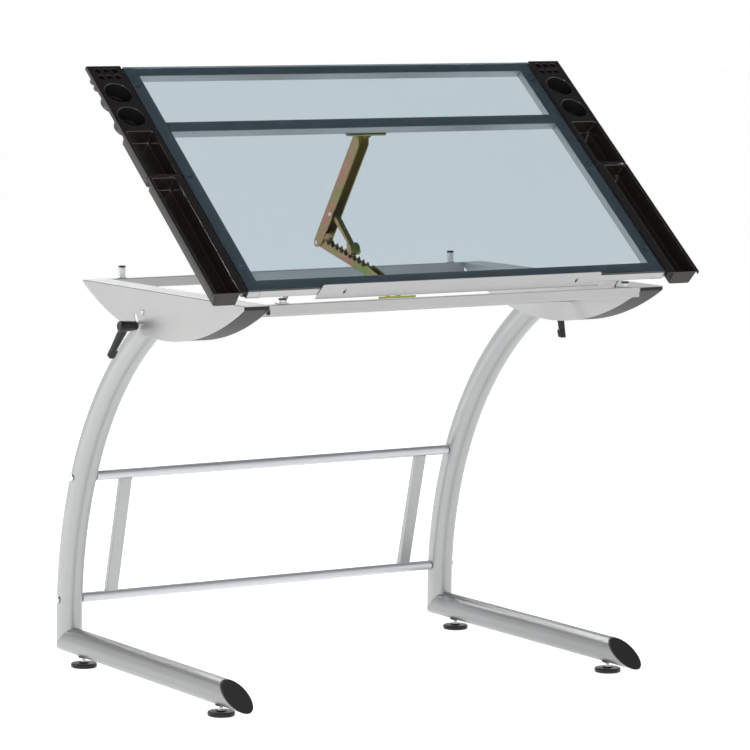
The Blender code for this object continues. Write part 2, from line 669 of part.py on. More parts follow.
def front_tray(name, side, axis):
    """Long trough along the front half of the board's side."""
    u0, u1 = FRAME_U - 0.0060, FRAME_U + 0.2990
    o = finish(name, rim(side, u0, u1), BLACK, axis)
    join(o, trough(side, u0, u1, TROUGH_IN, TROUGH_OUT, TRAY_DEPTH))
    cut(o, trough(side, u0, u1, TROUGH_IN, TROUGH_OUT, TRAY_DEPTH - TRAY_WALL, TRAY_WALL))
    return o


def rear_tray(name, side, axis):
    """Box, two cups and six pen holes along the rear half of the board's side."""
    u0, u1 = FRAME_U + 0.3025, FRAME_U + 0.6060
    x0, x1 = 0.4588, 0.5190
    o = finish(name, rim(side, u0, u1), BLACK, axis)
    b0, b1 = FRAME_U + BOX_US[0] - TRAY_WALL, FRAME_U + BOX_US[1] + TRAY_WALL
    join(o, trough(side, b0, b1, x0, x1, TRAY_DEPTH))
    low = GLASS_TOP - TRAY_DEPTH
    for u in CUP_US:
        at = (side * CUP_X, FRAME_U + u, 0)
        join(o, turned("Z", at, ((low, CUP_R - 0.0005), (GLASS_TOP - 0.001, CUP_R + TRAY_WALL)), 22))
    p0, p1 = FRAME_U + PEN_US[0] - 0.0095, FRAME_U + PEN_US[1] + 0.0095
    join(o, trough(side, p0, p1, 0.4600, 0.5140, TRAY_DEPTH, draft=0.0))
    cut(o, trough(side, b0, b1, x0, x1, TRAY_DEPTH - TRAY_WALL, TRAY_WALL))
    for u in CUP_US:
        at = (side * CUP_X, FRAME_U + u, 0)
        cut(o, turned("Z", at, ((low + TRAY_WALL, CUP_R - 0.0028), (GLASS_TOP + 0.004, CUP_R + 0.0002)), 22))
    for u in PEN_US:
        for x in PEN_XS:
            at = (side * x, FRAME_U + u, 0)
            cut(o, turned("Z", at, ((GLASS_TOP - 0.0180, PEN_R), (GLASS_TOP + 0.004, PEN_R)), 10))
    return o


# ---- ratchet support --------------------------------------------------------------------
def arm_axis(name, at, towards, parent=None):
    """An empty on a pivot whose +Y points along the arm."""
    return empty(name, at[0], at[1], atan2(towards[1] - at[1], towards[0] - at[0]), parent)


def upper_arm(name, top, axis):
    """Channel from the top bracket down to the elbow, with the elbow's pin and the pawl's pin."""
    length = hypot(ELBOW[0] - top[0], ELBOW[1] - top[1])
    w, t = 0.0115, 0.0020
    back, lip = 0.0090, -0.0165
    end = arc(0.0, 0.0, 0.0090, pi / 2, 3 * pi / 2, 6)
    far = arc(length, 0.0, 0.0090, -pi / 2, pi / 2, 6)
    flange = end[:4] + [(0.0120, lip), (length - 0.0100, lip)] + far[1:-1] + [(length - 0.0050, back)]
    o = finish(name, prism(flange, -w, w), ZINC, axis)
    cut(o, box(-w + t, w - t, -0.03, length + 0.03, lip - 0.01, back - t))
    cut(o, turned("X", (0, 0, 0), ((-0.02, 0.0033), (0.02, 0.0033)), 14))
    cut(o, box(-w - 0.01, w + 0.01, -0.02, 0.010, back - t - 0.001, back + 0.01))
    cut(o, box(-w + t, w - t, length - 0.014, length + 0.02, back - t - 0.001, back + 0.01))
    pin = ((-w - 0.0018, 0.0036), (-w + 0.0002, 0.0042), (-w + 0.0002, 0.0028), (w - 0.0002, 0.0028),
           (w - 0.0002, 0.0042), (w + 0.0018, 0.0036))
    join(o, turned("X", (0, length, 0), pin, 14))
    s, n = length - 0.075, -0.0080
    join(o, turned("X", (0, s, n), ((-w - 0.0015, 0.0032), (-w + 0.0002, 0.0038), (-w + 0.0002, 0.0024),
                                    (w - 0.0002, 0.0024), (w - 0.0002, 0.0038), (w + 0.0015, 0.0032)), 14))
    return o


def lower_arm(name, axis):
    """Channel from the elbow down to the base bracket, its teeth up towards the pawl (local -Z)."""
    length = hypot(ELBOW[0] - FOOT_PIN[0], ELBOW[1] - FOOT_PIN[1])
    w, t = 0.0085, 0.0018
    low, root, tip = -0.0058, 0.0058, 0.0120
    outline = [(0.0, low), (length, low)] + arc(length, 0.0, 0.0058, -pi / 2, pi / 2, 6)[1:]
    last = TOOTH_START + TOOTH_PITCH * TOOTH_COUNT
    outline += [(last + 0.006, tip), (last + 0.001, tip)]
    for i in range(TOOTH_COUNT - 1, -1, -1):
        s = TOOTH_START + TOOTH_PITCH * i
        valley = root + 0.0010
        outline += [(s + TOOTH_PITCH - 0.0045, valley), (s + 0.0050, valley), (s, tip), (s - 0.0015, tip)]
    outline += [(0.0120, tip), (0.0060, root)] + arc(0.0, 0.0, 0.0058, pi / 2, 3 * pi / 2, 6)[:-1]
    o = finish(name, prism([(y, -z) for y, z in outline], -w, w), ZINC, axis)
    cut(o, box(-w + t, w - t, -0.03, length + 0.03, -tip - 0.01, -low - t))
    cut(o, turned("X", (0, 0, 0), ((-0.02, 0.0032), (0.02, 0.0032)), 14))
    return join(o, turned("X", (0, length, 0), ((-w + 0.0002, 0.0032), (w - 0.0002, 0.0032)), 14))


def pawl(name, axis, length):
    """Strip from its rivet in the upper arm to the catch that rides on the teeth."""
    w = 0.0060
    strip = arc(0.0, 0.0, 0.0050, pi / 2, 3 * pi / 2, 5)
    strip += [(length - 0.008, -0.0022), (length - 0.006, 0.0022)]
    o = finish(name, prism(strip, -w, w), ZINC, axis)
    cut(o, turned("X", (0, 0, 0), ((-0.02, 0.0027), (0.02, 0.0027)), 14))
    turn = radians(26)
    hexagon = ((-0.010, 0.006), (-0.012, 0.000), (-0.004, -0.0065), (0.010, -0.0065),
               (0.013, 0.000), (0.009, 0.006))
    catch = []
    for y, z in hexagon:
        catch.append((length + y * cos(turn) - z * sin(turn), y * sin(turn) + z * cos(turn)))
    return join(o, prism(catch, -0.0105, 0.0105))


# ---- the table --------------------------------------------------------------------------
def build():
    head = empty("head_axis", PIVOT_Y, PIVOT_Z)
    board = empty("board_axis", HINGE_Y, HINGE_Z, TILT)

    for word, side in (("left", -1), ("right", 1)):
        x = side * LEG_X
        leg(word + "_leg", x)
        foot_tube(word + "_foot_tube", x)
        foot_cap(word + "_foot_cap", x)
        leveller(word + "_front_leveller", x, Y0 - LEVELLER_Y)
        leveller(word + "_rear_leveller", x, Y0 + LEVELLER_Y)
        slat(word + "_slat", side * SLAT_X)
        pivot_screw(word + "_pivot_screw", side)
        clamp_lever(word + "_clamp_lever", side, LEVER_ANGLE[word])

        outer_panel(word + "_outer_panel", side, head)
        inner_shell(word + "_inner_shell", side, head)
        front_strip(word + "_front_strip", side, head)
        rear_post(word + "_rear_post", side * POST_X, head)
        rear_post_cap(word + "_rear_post_cap", side * POST_X, head)
        hinge_bracket(word + "_hinge_bracket", side, head)

        side_member(word + "_frame_member", side, board)
        end_plug(word + "_end_plug", side, board)
        ledge_screw(word + "_ledge_screw", side, board)
        for spot, u in zip(("front", "middle", "rear"), PAD_US):
            suction_pad(word + "_" + spot + "_pad", side, u, board)
        front_tray(word + "_front_tray", side, tray_axis(word + "_front_tray", 0.0, board))
        rear_tray(word + "_rear_tray", side, tray_axis(word + "_rear_tray", 0.0, board))

    for word, z in RAIL_Z.items():
        rail(word + "_rail", z)
    crossbar("front_crossbar", FRONT_BAR_Y, HEAD_TOP - BAR_H / 2, head)
    crossbar("rear_crossbar", REAR_BAR_Y, HEAD_TOP - BAR_H / 2, head)
    crossbar("middle_crossbar", MID_BAR_Y, MID_BAR_Z, head)
    base_bracket("support_base_bracket", head)

    inner = FRAME_W / 2 - SIDE_W - GAP
    front_member("front_frame_member", board)
    member("cross_frame_member", (-inner, inner), CROSS_U, CROSS_U + CROSS_W, board)
    member("rear_frame_member", (-inner, inner), FRAME_D - REAR_W, FRAME_D, board)
    glass_panel("glass_panel", board)
    ledge("pencil_ledge", board)
    top_bracket("support_top_bracket", board)

    top = board.matrix_world @ Vector((0, TOP_PIN_U, TOP_PIN_H))
    top = (top.y, top.z)
    upper = arm_axis("upper_arm_axis", top, ELBOW)
    upper_arm("support_upper_arm", top, upper)
    lower = arm_axis("lower_arm_axis", ELBOW, FOOT_PIN)
    lower_arm("support_lower_arm", lower)
    length = hypot(ELBOW[0] - top[0], ELBOW[1] - top[1])
    rivet = upper.matrix_world @ Vector((0, length - 0.075, -0.0080))
    catch = (Y0 - 0.0190, 0.8110)
    swing = arm_axis("pawl_axis", (rivet.y, rivet.z), catch)
    pawl("support_pawl", swing, hypot(catch[0] - rivet.y, catch[1] - rivet.z))


build()
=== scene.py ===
"""Looks for the glass-topped tilting drafting table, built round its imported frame."""

import bmesh
import bpy
from math import atan2, cos, hypot, pi, radians, sin, sqrt
from mathutils import Matrix, Vector

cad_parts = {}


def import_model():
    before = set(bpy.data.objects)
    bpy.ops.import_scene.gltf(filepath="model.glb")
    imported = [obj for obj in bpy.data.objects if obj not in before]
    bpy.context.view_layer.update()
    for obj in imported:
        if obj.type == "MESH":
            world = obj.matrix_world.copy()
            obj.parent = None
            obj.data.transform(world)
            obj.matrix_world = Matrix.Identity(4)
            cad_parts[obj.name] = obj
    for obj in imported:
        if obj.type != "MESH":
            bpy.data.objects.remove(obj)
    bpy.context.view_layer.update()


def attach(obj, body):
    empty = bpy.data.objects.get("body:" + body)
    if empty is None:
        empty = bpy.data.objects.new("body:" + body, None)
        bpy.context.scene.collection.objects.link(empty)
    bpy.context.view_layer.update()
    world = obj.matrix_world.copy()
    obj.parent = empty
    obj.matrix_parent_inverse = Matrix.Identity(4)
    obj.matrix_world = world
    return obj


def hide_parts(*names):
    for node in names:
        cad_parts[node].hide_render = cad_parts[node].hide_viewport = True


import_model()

# ---- dimensions, in metres, as in the frame ---------------------------------------------
GAP = 0.0003
Y0 = 0.0289
LEG_X, TUBE_R, TUBE_WALL = 0.4255, 0.0250, 0.0018
ARC_R, ARC_Y, ARC_Z = 0.7066, Y0 - 0.3760, 0.0820
LEG_TOP = radians(65.0)
FOOT_Z = 0.0445
FOOT_REAR_Y = ARC_Y + ARC_R
FOOT_FRONT_Y = Y0 - 0.3230
TOE_SLOPE = 1.55
RAIL_R = 0.0095
RAIL_Z = {"upper": 0.3700, "lower": 0.1245}
SLAT_X, SLAT_W, SLAT_T = 0.3355, 0.0250, 0.0120
LEVELLER_Y, PAD_R = 0.2695, 0.0252
PIVOT_Y, PIVOT_Z = Y0 - 0.0200, 0.7110
STUD_Y, STUD_Z = Y0 - 0.0065, 0.6855
LEVER_ANGLE = {"left": radians(-61.0), "right": radians(-86.0)}
HEAD_SWING = radians(45.0)
HEAD_TOP = 0.7530
HEAD_FRONT = Y0 - 0.3947
BELLY_R, BELLY_Y, BELLY_Z = 0.6179, Y0 - 0.0919, 1.2836
BELLY_END = Y0 - 0.1650
SHEET = 0.0015
PANEL_IN, PANEL_OUT = 0.4000, 0.4510
BAR_H, BAR_D = 0.0190, 0.0160
FRONT_BAR_Y, REAR_BAR_Y = Y0 - 0.3865, Y0 + 0.2165
MID_BAR_Y, MID_BAR_Z = Y0 - 0.1700, 0.7170
POST_X, REAR_POST_TOP, FRONT_POST_TOP = 0.3700, 0.7770, 0.7637
TILT = radians(38.5)
HINGE_Y, HINGE_Z = Y0 - 0.3709, 0.7483
FRAME_W, FRAME_D, FRAME_U = 0.8980, 0.6030, -0.0075
FRAME_H, FRAME_T, MEMBER_WALL = 0.0292, 0.0155, 0.0015
SIDE_W, FRONT_W, CROSS_W, REAR_W = 0.0270, 0.0265, 0.0268, 0.0230
CROSS_U = 0.4237
GLASS_W, GLASS_T = 0.9020, 0.0050
PAD_US, PAD_X = (0.0580, 0.3040, 0.5545), 0.4365
GLASS_TOP = FRAME_H + FRAME_T + GAP + GLASS_T
LEDGE_TRAVEL = 0.0060
TRAY_IN, TRAY_OUT, TRAY_WALL, TRAY_DEPTH = 0.4527, 0.5235, 0.0022, 0.0315
TROUGH_IN, TROUGH_OUT = 0.4670, 0.5190
CUP_R, CUP_X, CUP_US = 0.0260, 0.4875, (0.4650, 0.5310)
BOX_US = (0.3075, 0.4240)
PEN_R, PEN_XS, PEN_US = 0.0060, (0.4700, 0.4870, 0.5040), (0.5752, 0.5936)
FOOT_PIN, ELBOW = (Y0 - 0.1435, 0.7545), (Y0 + 0.0997, 0.8150)
PAWL_RIVET_BACK, PAWL_RIVET_DROP = 0.075, -0.0080
CATCH = (Y0 - 0.0190, 0.8110)
LEDGE_SCREW_X, LEDGE_SCREW_DROP = 0.2500, 0.0150
PIVOT_HOLE_R = 0.0029
TOP_PIN_U, TOP_PIN_H = 0.4275, 0.0167
FILLET, SEAM = 0.0018, 0.0009
TOOTH_PITCH, TOOTH_COUNT, TOOTH_START = 0.0165, 9, 0.0300


# ---- materials --------------------------------------------------------------------------
def start(name):
    m = bpy.data.materials.new(name)
    m.use_nodes = True
    return m, m.node_tree, m.node_tree.nodes["Principled BSDF"]


def feed(tree, n, inputs):
    """Link or set a node's inputs, by name or number."""
    for k, v in inputs.items():
        if isinstance(v, bpy.types.NodeSocket):
            tree.links.new(v, n.inputs[k])
        else:
            n.inputs[k].default_value = v


def node(tree, kind, inputs=None, **settings):
    n = tree.nodes.new(kind)
    for k, v in settings.items():
        setattr(n, k, v)
    feed(tree, n, inputs or {})
    return n


def noise(tree, scale, detail=3.0, stretch=(1, 1, 1), distortion=0.0):
    """Noise in the piece's own coordinates, as a 0 to 1 value."""
    coord = node(tree, "ShaderNodeTexCoord")
    place = node(tree, "ShaderNodeMapping", {"Vector": coord.outputs["Object"], "Scale": stretch})
    n = node(tree, "ShaderNodeTexNoise", {"Vector": place.outputs[0], "Scale": scale, "Detail": detail,
                                          "Distortion": distortion})
    return n.outputs["Fac"]


def spread(tree, value, low, high, inside=(0.3, 0.7)):
    """Map a noise value onto a range."""
    return node(tree, "ShaderNodeMapRange", {"Value": value, "From Min": inside[0], "From Max": inside[1],
                                             "To Min": low, "To Max": high}).outputs[0]


def blend(tree, value, a, b):
    m = node(tree, "ShaderNodeMix", data_type="RGBA")
    tree.links.new(value, m.inputs["Factor"])
    for socket, c in zip((m.inputs[6], m.inputs[7]), (a, b)):
        if isinstance(c, bpy.types.NodeSocket):
            tree.links.new(c, socket)
        else:
            socket.default_value = (*c, 1.0)
    return m.outputs[2]


def relief(tree, p, height, strength, distance, radius=0.0):
    """Fine relief over edges that are softened by a radius."""
    ins = {"Height": height, "Strength": strength, "Distance": distance}
    if radius:
        ins["Normal"] = node(tree, "ShaderNodeBevel", {"Radius": radius}, samples=4).outputs[0]
    tree.links.new(node(tree, "ShaderNodeBump", ins).outputs[0], p.inputs["Normal"])


def powder_coat(name, colour, metallic, rough, flake, radius=0.0006, specular=0.5):
    """Metallic powder coat: bright flakes, a slight cloudiness and an orange-peel surface."""
    m, t, p = start(name)
    dark = tuple(c * (1 - flake) for c in colour)
    light = tuple(min(1.0, c * (1 + flake)) for c in colour)
    speck = spread(t, noise(t, 2600, 1.0), 0.0, 1.0, (0.38, 0.62))
    cloud = spread(t, noise(t, 9, 4.0), 0.0, 1.0)
    tone = blend(t, cloud, tuple(c * 0.965 for c in colour), tuple(min(1.0, c * 1.03) for c in colour))
    tone = blend(t, spread(t, speck, 0.0, 0.45, (0, 1)), tone, blend(t, speck, dark, light))
    feed(t, p, {"Base Color": tone, "Metallic": metallic, "Specular IOR Level": specular,
                "Roughness": spread(t, noise(t, 1400, 2.0), rough - 0.05, rough + 0.06)})
    relief(t, p, noise(t, 620, 2.0), 0.18, 0.0002, radius)
    return m


def plastic(name, colour, rough, grain, depth, radius=0.0006, specular=0.5):
    """Moulded plastic: an even colour with faint flow marks, and a grain of a given size."""
    m, t, p = start(name)
    tone = blend(t, spread(t, noise(t, 24, 5.0), 0.0, 1.0), colour, tuple(c * 1.25 for c in colour))
    feed(t, p, {"Base Color": tone, "Specular IOR Level": specular,
                "Roughness": spread(t, noise(t, grain * 0.6, 2.0), rough - 0.04, rough + 0.07)})
    coord = node(t, "ShaderNodeTexCoord")
    inputs = {"Vector": coord.outputs["Object"], "Scale": grain, "Randomness": 1.0}
    cells = node(t, "ShaderNodeTexVoronoi", inputs, feature="SMOOTH_F1")
    relief(t, p, cells.outputs["Distance"], 0.7, depth, radius)
    return m


def zinc_plate(name):
    """Yellow chromated zinc: bands of pink, gold and green that shift with the angle. The green, one of the
    chromate's own tones, is put mostly on faces not turned towards -X as a painted sheen.
    """
    m, t, p = start(name)
    facing = node(t, "ShaderNodeLayerWeight", {"Blend": 0.42}).outputs["Facing"]
    mist = noise(t, 14, 4.0, (1, 0.55, 0.55), 0.8)
    mixed = node(t, "ShaderNodeMath", {0: facing, 1: mist}, operation="ADD").outputs[0]
    ramp = node(t, "ShaderNodeValToRGB", {"Fac": spread(t, mixed, 0.0, 1.0, (0.35, 1.25))})
    stops = ((0.0, (0.23, 0.27, 0.06)), (0.22, (0.42, 0.38, 0.07)), (0.42, (0.56, 0.40, 0.11)),
             (0.58, (0.52, 0.24, 0.17)), (0.74, (0.30, 0.33, 0.10)), (1.0, (0.10, 0.20, 0.09)))
    ramp.color_ramp.elements[0].position = 0.0
    ramp.color_ramp.elements[0].color = (*stops[0][1], 1)
    ramp.color_ramp.elements[1].position = 1.0
    ramp.color_ramp.elements[1].color = (*stops[-1][1], 1)
    for at, c in stops[1:-1]:
        ramp.color_ramp.elements.new(at).color = (*c, 1)
    # Faces not turned towards -X are blended mostly to green: the chromate's own tone, fixed to that side
    # as a painted sheen.
    coord = node(t, "ShaderNodeTexCoord")
    side_sheen_mask = node(t, "ShaderNodeSeparateXYZ", {0: coord.outputs["Normal"]}).outputs[0]
    green = blend(t, noise(t, 45, 3.0), (0.15, 0.25, 0.06), (0.42, 0.42, 0.12))
    tone = blend(t, spread(t, side_sheen_mask, 0.0, 0.85, (-0.9, -0.3)), ramp.outputs["Color"], green)
    feed(t, p, {"Base Color": tone, "Metallic": 0.92,
                "Roughness": spread(t, noise(t, 300, 3.0, (1, 0.2, 0.2)), 0.26, 0.42)})
    relief(t, p, noise(t, 900, 3.0, (1, 0.25, 0.25)), 0.12, 0.0001, 0.0005)
    return m


def steel(name, colour, rough):
    """Bright plated steel with fine machining marks."""
    m, t, p = start(name)
    tone = blend(t, noise(t, 160, 3.0), tuple(c * 0.9 for c in colour), colour)
    feed(t, p, {"Base Color": tone, "Metallic": 1.0,
                "Roughness": spread(t, noise(t, 900, 2.0), rough - 0.05, rough + 0.08)})
    relief(t, p, noise(t, 1800, 2.0), 0.08, 0.0001, 0.0003)
    return m


def tinted_glass(name, colour):
    """Tempered glass with a tint; lamps reach through it, and its faces are very slightly wavy."""
    m, t, p = start(name)
    tone = blend(t, noise(t, 5, 2.0), tuple(c * 0.985 for c in colour), colour)
    feed(t, p, {"Base Color": tone, "Transmission Weight": 1.0, "IOR": 1.46, "Roughness": 0.0})
    relief(t, p, noise(t, 4, 1.0), 0.02, 0.001)
    path = node(t, "ShaderNodeLightPath")
    clear = node(t, "ShaderNodeBsdfTransparent", {"Color": (*colour, 1)})
    shadow = path.outputs["Is Shadow Ray"]
    mix = node(t, "ShaderNodeMixShader", {0: shadow, 1: p.outputs[0], 2: clear.outputs[0]})
    t.links.new(mix.outputs[0], t.nodes["Material Output"].inputs["Surface"])
    return m


def vinyl(name):
    """Soft clear vinyl of the suction pads."""
    m, t, p = start(name)
    feed(t, p, {"Base Color": blend(t, noise(t, 200, 3.0), (0.20, 0.27, 0.33), (0.36, 0.45, 0.52)),
                "Roughness": spread(t, noise(t, 500, 2.0), 0.08, 0.2),
                "Transmission Weight": 0.6, "IOR": 1.5})
    relief(t, p, noise(t, 700, 2.0), 0.15, 0.0002)
    return m


SILVER = powder_coat("silver_powder_coat", (0.455, 0.455, 0.45), 0.78, 0.36, 0.16)
# The tube, rail and foot coats are copies of the one silver paint. The tube and foot copies are darker as
# painted shade, and the rail copy is lighter as painted light.
SHADED_TUBE_COAT = powder_coat("silver_tube_coat_painted_shade", (0.375, 0.38, 0.38), 0.80, 0.34, 0.24, 0.0)
LIT_RAIL_COAT = powder_coat("silver_rail_coat_painted_light", (0.56, 0.57, 0.585), 0.62, 0.40, 0.16, 0.0)
SHADED_FOOT_COAT = powder_coat("silver_foot_coat_painted_shade", (0.29, 0.292, 0.295), 0.80, 0.34, 0.26, 0.0)
SATIN = powder_coat("satin_silver_coat", (0.42, 0.42, 0.42), 0.78, 0.38, 0.16)
CHARCOAL = powder_coat("charcoal_powder_coat", (0.020, 0.0205, 0.022), 0.0, 0.50, 0.35, 0.0006, 0.25)
GLASS = tinted_glass("tinted_glass", (0.573, 0.667, 0.725))
# The glass's ground rim comes in two copies: a near-black one that is painted shade, and a light one for
# the rear stretch that is a painted highlight.
SHADED_GLASS_EDGE = plastic("ground_glass_edge_painted_shade", (0.010, 0.013, 0.017), 0.30, 1500, 0.00003, 0.0)
LIT_GLASS_EDGE = plastic("ground_glass_rear_edge_painted_highlight", (0.36, 0.43, 0.47), 0.40, 1500, 0.00003, 0.0)
GLOSS = plastic("moulded_gloss", (0.0145, 0.0117, 0.0102), 0.16, 420, 0.00004, 0.0011)
feed(GLOSS.node_tree, GLOSS.node_tree.nodes["Principled BSDF"],
     {"Coat Weight": 0.6, "Coat Roughness": 0.05})
# A darker, matt copy of the tray plastic for the cup walls and floors: the matt finish is the plastic's
# own, and the darkness is painted shade in the recess.
SHADED_RECESS = plastic("moulded_recess_painted_shade", (0.0080, 0.0080, 0.0084), 0.50, 420, 0.00004, 0.0006, 0.2)
GRAIN = plastic("moulded_grain", (0.026, 0.024, 0.022), 0.42, 1150, 0.00022, 0.0009, 0.3)
LEVER = plastic("lever_plastic", (0.009, 0.0087, 0.0085), 0.30, 1600, 0.00006, 0.0008, 0.3)
RUBBER = plastic("black_rubber", (0.013, 0.0125, 0.012), 0.55, 1300, 0.00015, 0.0006)
VINYL = vinyl("clear_vinyl")
ZINC = zinc_plate("yellow_zinc")
STEEL = steel("bright_steel", (0.74, 0.75, 0.76), 0.22)
CAP = steel("machined_steel", (0.70, 0.71, 0.73), 0.28)


# ---- mesh helpers -----------------------------------------------------------------------
def at_axis(y, z, tilt=0.0):
    """Axes at a point of the table's middle plane, tilted about X."""
    return Matrix.Translation((0.0, y, z)) @ Matrix.Rotation(tilt, 4, "X")


BOARD = at_axis(HINGE_Y, HINGE_Z, TILT)


def shade(me):
    me.shade_smooth()
    me.set_sharp_from_angle(angle=radians(33))


def solid(bm, mats, place=None):
    """A mesh object in world axes, made from a mesh in the axes of a place."""
    bmesh.ops.remove_doubles(bm, verts=bm.verts, dist=1e-7)
    bmesh.ops.recalc_face_normals(bm, faces=bm.faces)
    me = bpy.data.meshes.new("piece")
    bm.to_mesh(me)
    bm.free()
    for m in (mats if isinstance(mats, (list, tuple)) else [mats]):
        me.materials.append(m)
    if place is not None:
        me.transform(place)
    shade(me)
    o = bpy.data.objects.new("piece", me)
    bpy.context.scene.collection.objects.link(o)
    o["place"] = [v for row in (place or Matrix.Identity(4)) for v in row]
    return o


def bake_modifiers(o):
    """Put what an object's modifiers make into its mesh."""
    bpy.context.view_layer.update()
    graph = bpy.context.evaluated_depsgraph_get()
    out = bpy.data.meshes.new_from_object(o.evaluated_get(graph))
    o.modifiers.clear()
    o.data = out


def home(o):
    v = list(o["place"])
    return Matrix([v[i:i + 4] for i in (0, 4, 8, 12)])


def combine(target, bm, operation):
    """Cut a shape from the target or join it on, in the target's own place."""
    bmesh.ops.recalc_face_normals(bm, faces=bm.faces)
    me = bpy.data.meshes.new("tool")
    bm.to_mesh(me)
    bm.free()
    me.transform(home(target))
    me.materials.append(target.data.materials[0])
    tool = bpy.data.objects.new("tool", me)
    bpy.context.scene.collection.objects.link(tool)
    mod = target.modifiers.new("cut", "BOOLEAN")
    mod.operation = operation
    mod.solver = "EXACT"
    mod.material_mode = "INDEX"
    mod.object = tool
    bake_modifiers(target)
    shade(target.data)
    bpy.data.objects.remove(tool, do_unlink=True)


def cut(o, *shapes):
    for bm in shapes:
        combine(o, bm, "DIFFERENCE")
    return o


def join(o, *shapes):
    for bm in shapes:
        combine(o, bm, "UNION")
    return o


def soften(o, width, segments=2, angle=40):
    """Round the sharp edges of a piece."""
    mod = o.modifiers.new("round", "BEVEL")
    mod.width = width
    mod.segments = segments
    mod.limit_method = "ANGLE"
    mod.angle_limit = radians(angle)
    bake_modifiers(o)
    o.data.shade_smooth()
    o.data.set_sharp_from_angle(angle=radians(50))
    return o


def keep(o, name, body, slot, *nodes):
    """Name a finished piece, fix it to its body and let it stand for its CAD nodes."""
    mod = o.modifiers.new("flat_faces", "WEIGHTED_NORMAL")
    mod.keep_sharp = True
    mod.weight = 90
    bake_modifiers(o)
    o.name = name
    o.data.name = name
    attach(o, body)
    if nodes:
        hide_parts(*nodes)
    return o


def loft(rings, closed=False):
    bm = bmesh.new()
    rows = [[bm.verts.new(p) for p in ring] for ring in rings]
    n = len(rows[0])
    pairs = list(zip(rows, rows[1:]))
    if closed:
        pairs.append((rows[-1], rows[0]))
    for a, b in pairs:
        for i in range(n):
            bm.faces.new((a[i], a[(i + 1) % n], b[(i + 1) % n], b[i]))
    if not closed:
        bm.faces.new(rows[0])
        bm.faces.new(rows[-1])
    return bm


def prism(outline, x0, x1):
    return loft([[(x, y, z) for y, z in outline] for x in (x0, x1)])


def plate(outline, z0, z1):
    return loft([[(x, y, z) for x, y in outline] for z in (z0, z1)])


def box(x0, x1, y0, y1, z0, z1):
    return plate([(x0, y0), (x1, y0), (x1, y1), (x0, y1)], z0, z1)


def ring(centre, axis, r, n=40):
    cx, cy, cz = centre
    out = []
    for i in range(n):
        c, s = r * cos(2 * pi * i / n), r * sin(2 * pi * i / n)
        out.append({"X": (cx, cy + c, cz + s), "Y": (cx + c, cy, cz + s), "Z": (cx + c, cy + s, cz)}[axis])
    return out


def turned(axis, at, profile, n=40):
    i = "XYZ".index(axis)
    rings = []
    for d, r in profile:
        c = list(at)
        c[i] += d
        rings.append(ring(c, axis, r, n))
    return loft(rings)


def rod(axis, at, r, d0, d1, n=24):
    """A plain round rod, to join on or to cut a bore with."""
    return turned(axis, at, ((d0, r), (d1, r)), n)


def arc(cy, cz, r, a0, a1, n):
    angles = [a0 + (a1 - a0) * i / n for i in range(n + 1)]
    return [(cy + r * cos(a), cz + r * sin(a)) for a in angles]


def rounded(x0, x1, y0, y1, r, n=5):
    out = []
    for k, (cx, cy) in enumerate(((x1 - r, y1 - r), (x0 + r, y1 - r), (x0 + r, y0 + r), (x1 - r, y0 + r))):
        out += arc(cx, cy, r, k * pi / 2, (k + 1) * pi / 2, n)
    return out


def merged(*bms):
    """One mesh of several separate shapes."""
    out = bmesh.new()
    for bm in bms:
        bmesh.ops.recalc_face_normals(bm, faces=bm.faces)
        me = bpy.data.meshes.new("part")
        bm.to_mesh(me)
        bm.free()
        out.from_mesh(me)
        bpy.data.meshes.remove(me)
    return out


def screw_head(axis, at, out, r, h):
    """A pan head that faces along an axis; out is +1 or -1."""
    prof = [(0, r), (h * 0.35, r)]
    for k in range(1, 7):
        a = k * pi / 12
        prof.append((h * (0.35 + 0.65 * sin(a)), r * (0.25 + 0.75 * cos(a))))
    return turned(axis, at, [(out * d, q) for d, q in prof], 32)


def recess(axis, at, out, r, depth, h):
    """Four-armed cutter of a cross recess in a head of height h."""
    shapes = []
    for k in range(2):
        a, b = (r * 0.52, r * 0.13) if k == 0 else (r * 0.13, r * 0.52)
        lo, hi = sorted((out * (h - depth), out * (h + 0.002)))
        x, y, z = at
        if axis == "X":
            shapes.append(box(x + lo, x + hi, y - a, y + a, z - b, z + b))
        elif axis == "Y":
            shapes.append(box(x - a, x + a, y + lo, y + hi, z - b, z + b))
        else:
            shapes.append(box(x - a, x + a, y - b, y + b, z + lo, z + hi))
    return shapes


# ---- base -------------------------------------------------------------------------------
def tube_rings(stations, r, x, n=56):
    rings = []
    for y, z, a in stations:
        row = []
        for i in range(n):
            c, s = r * cos(2 * pi * i / n), r * sin(2 * pi * i / n)
            row.append((x + c, y - s * sin(a), z + s * cos(a)))
        rings.append(row)
    return rings


def to_mitre(row, along, side):
    out = []
    for x, y, z in row:
        if along == "z":
            z = FOOT_Z - (y - FOOT_REAR_Y) + side
        else:
            y = FOOT_REAR_Y - (z - FOOT_Z) + side
        out.append((x, y, z))
    return out


def leg(word, x):
    steps = 48
    stations = [(FOOT_REAR_Y, FOOT_Z, pi / 2)]
    for i in range(steps + 1):
        a = LEG_TOP * i / steps
        stations.append((ARC_Y + ARC_R * cos(a), ARC_Z + ARC_R * sin(a), a + pi / 2))
    outer = tube_rings(stations, TUBE_R, x)
    inner = tube_rings(stations, TUBE_R - TUBE_WALL, x)
    outer[0] = to_mitre(outer[0], "z", 0.0001)
    inner[0] = to_mitre(inner[0], "z", 0.0001)
    o = solid(loft(outer + inner[::-1], closed=True), SHADED_TUBE_COAT)
    side = 1 if x > 0 else -1
    cut(o, rod("X", (x - side * 0.04, PIVOT_Y, PIVOT_Z), 0.0029, 0, side * 0.08, 20))
    cut(o, rod("X", (x, STUD_Y, STUD_Z), 0.0044, 0, side * 0.05, 20))
    keep(o, word + "_leg_tube", "base", "silver_paint", word + "_leg")


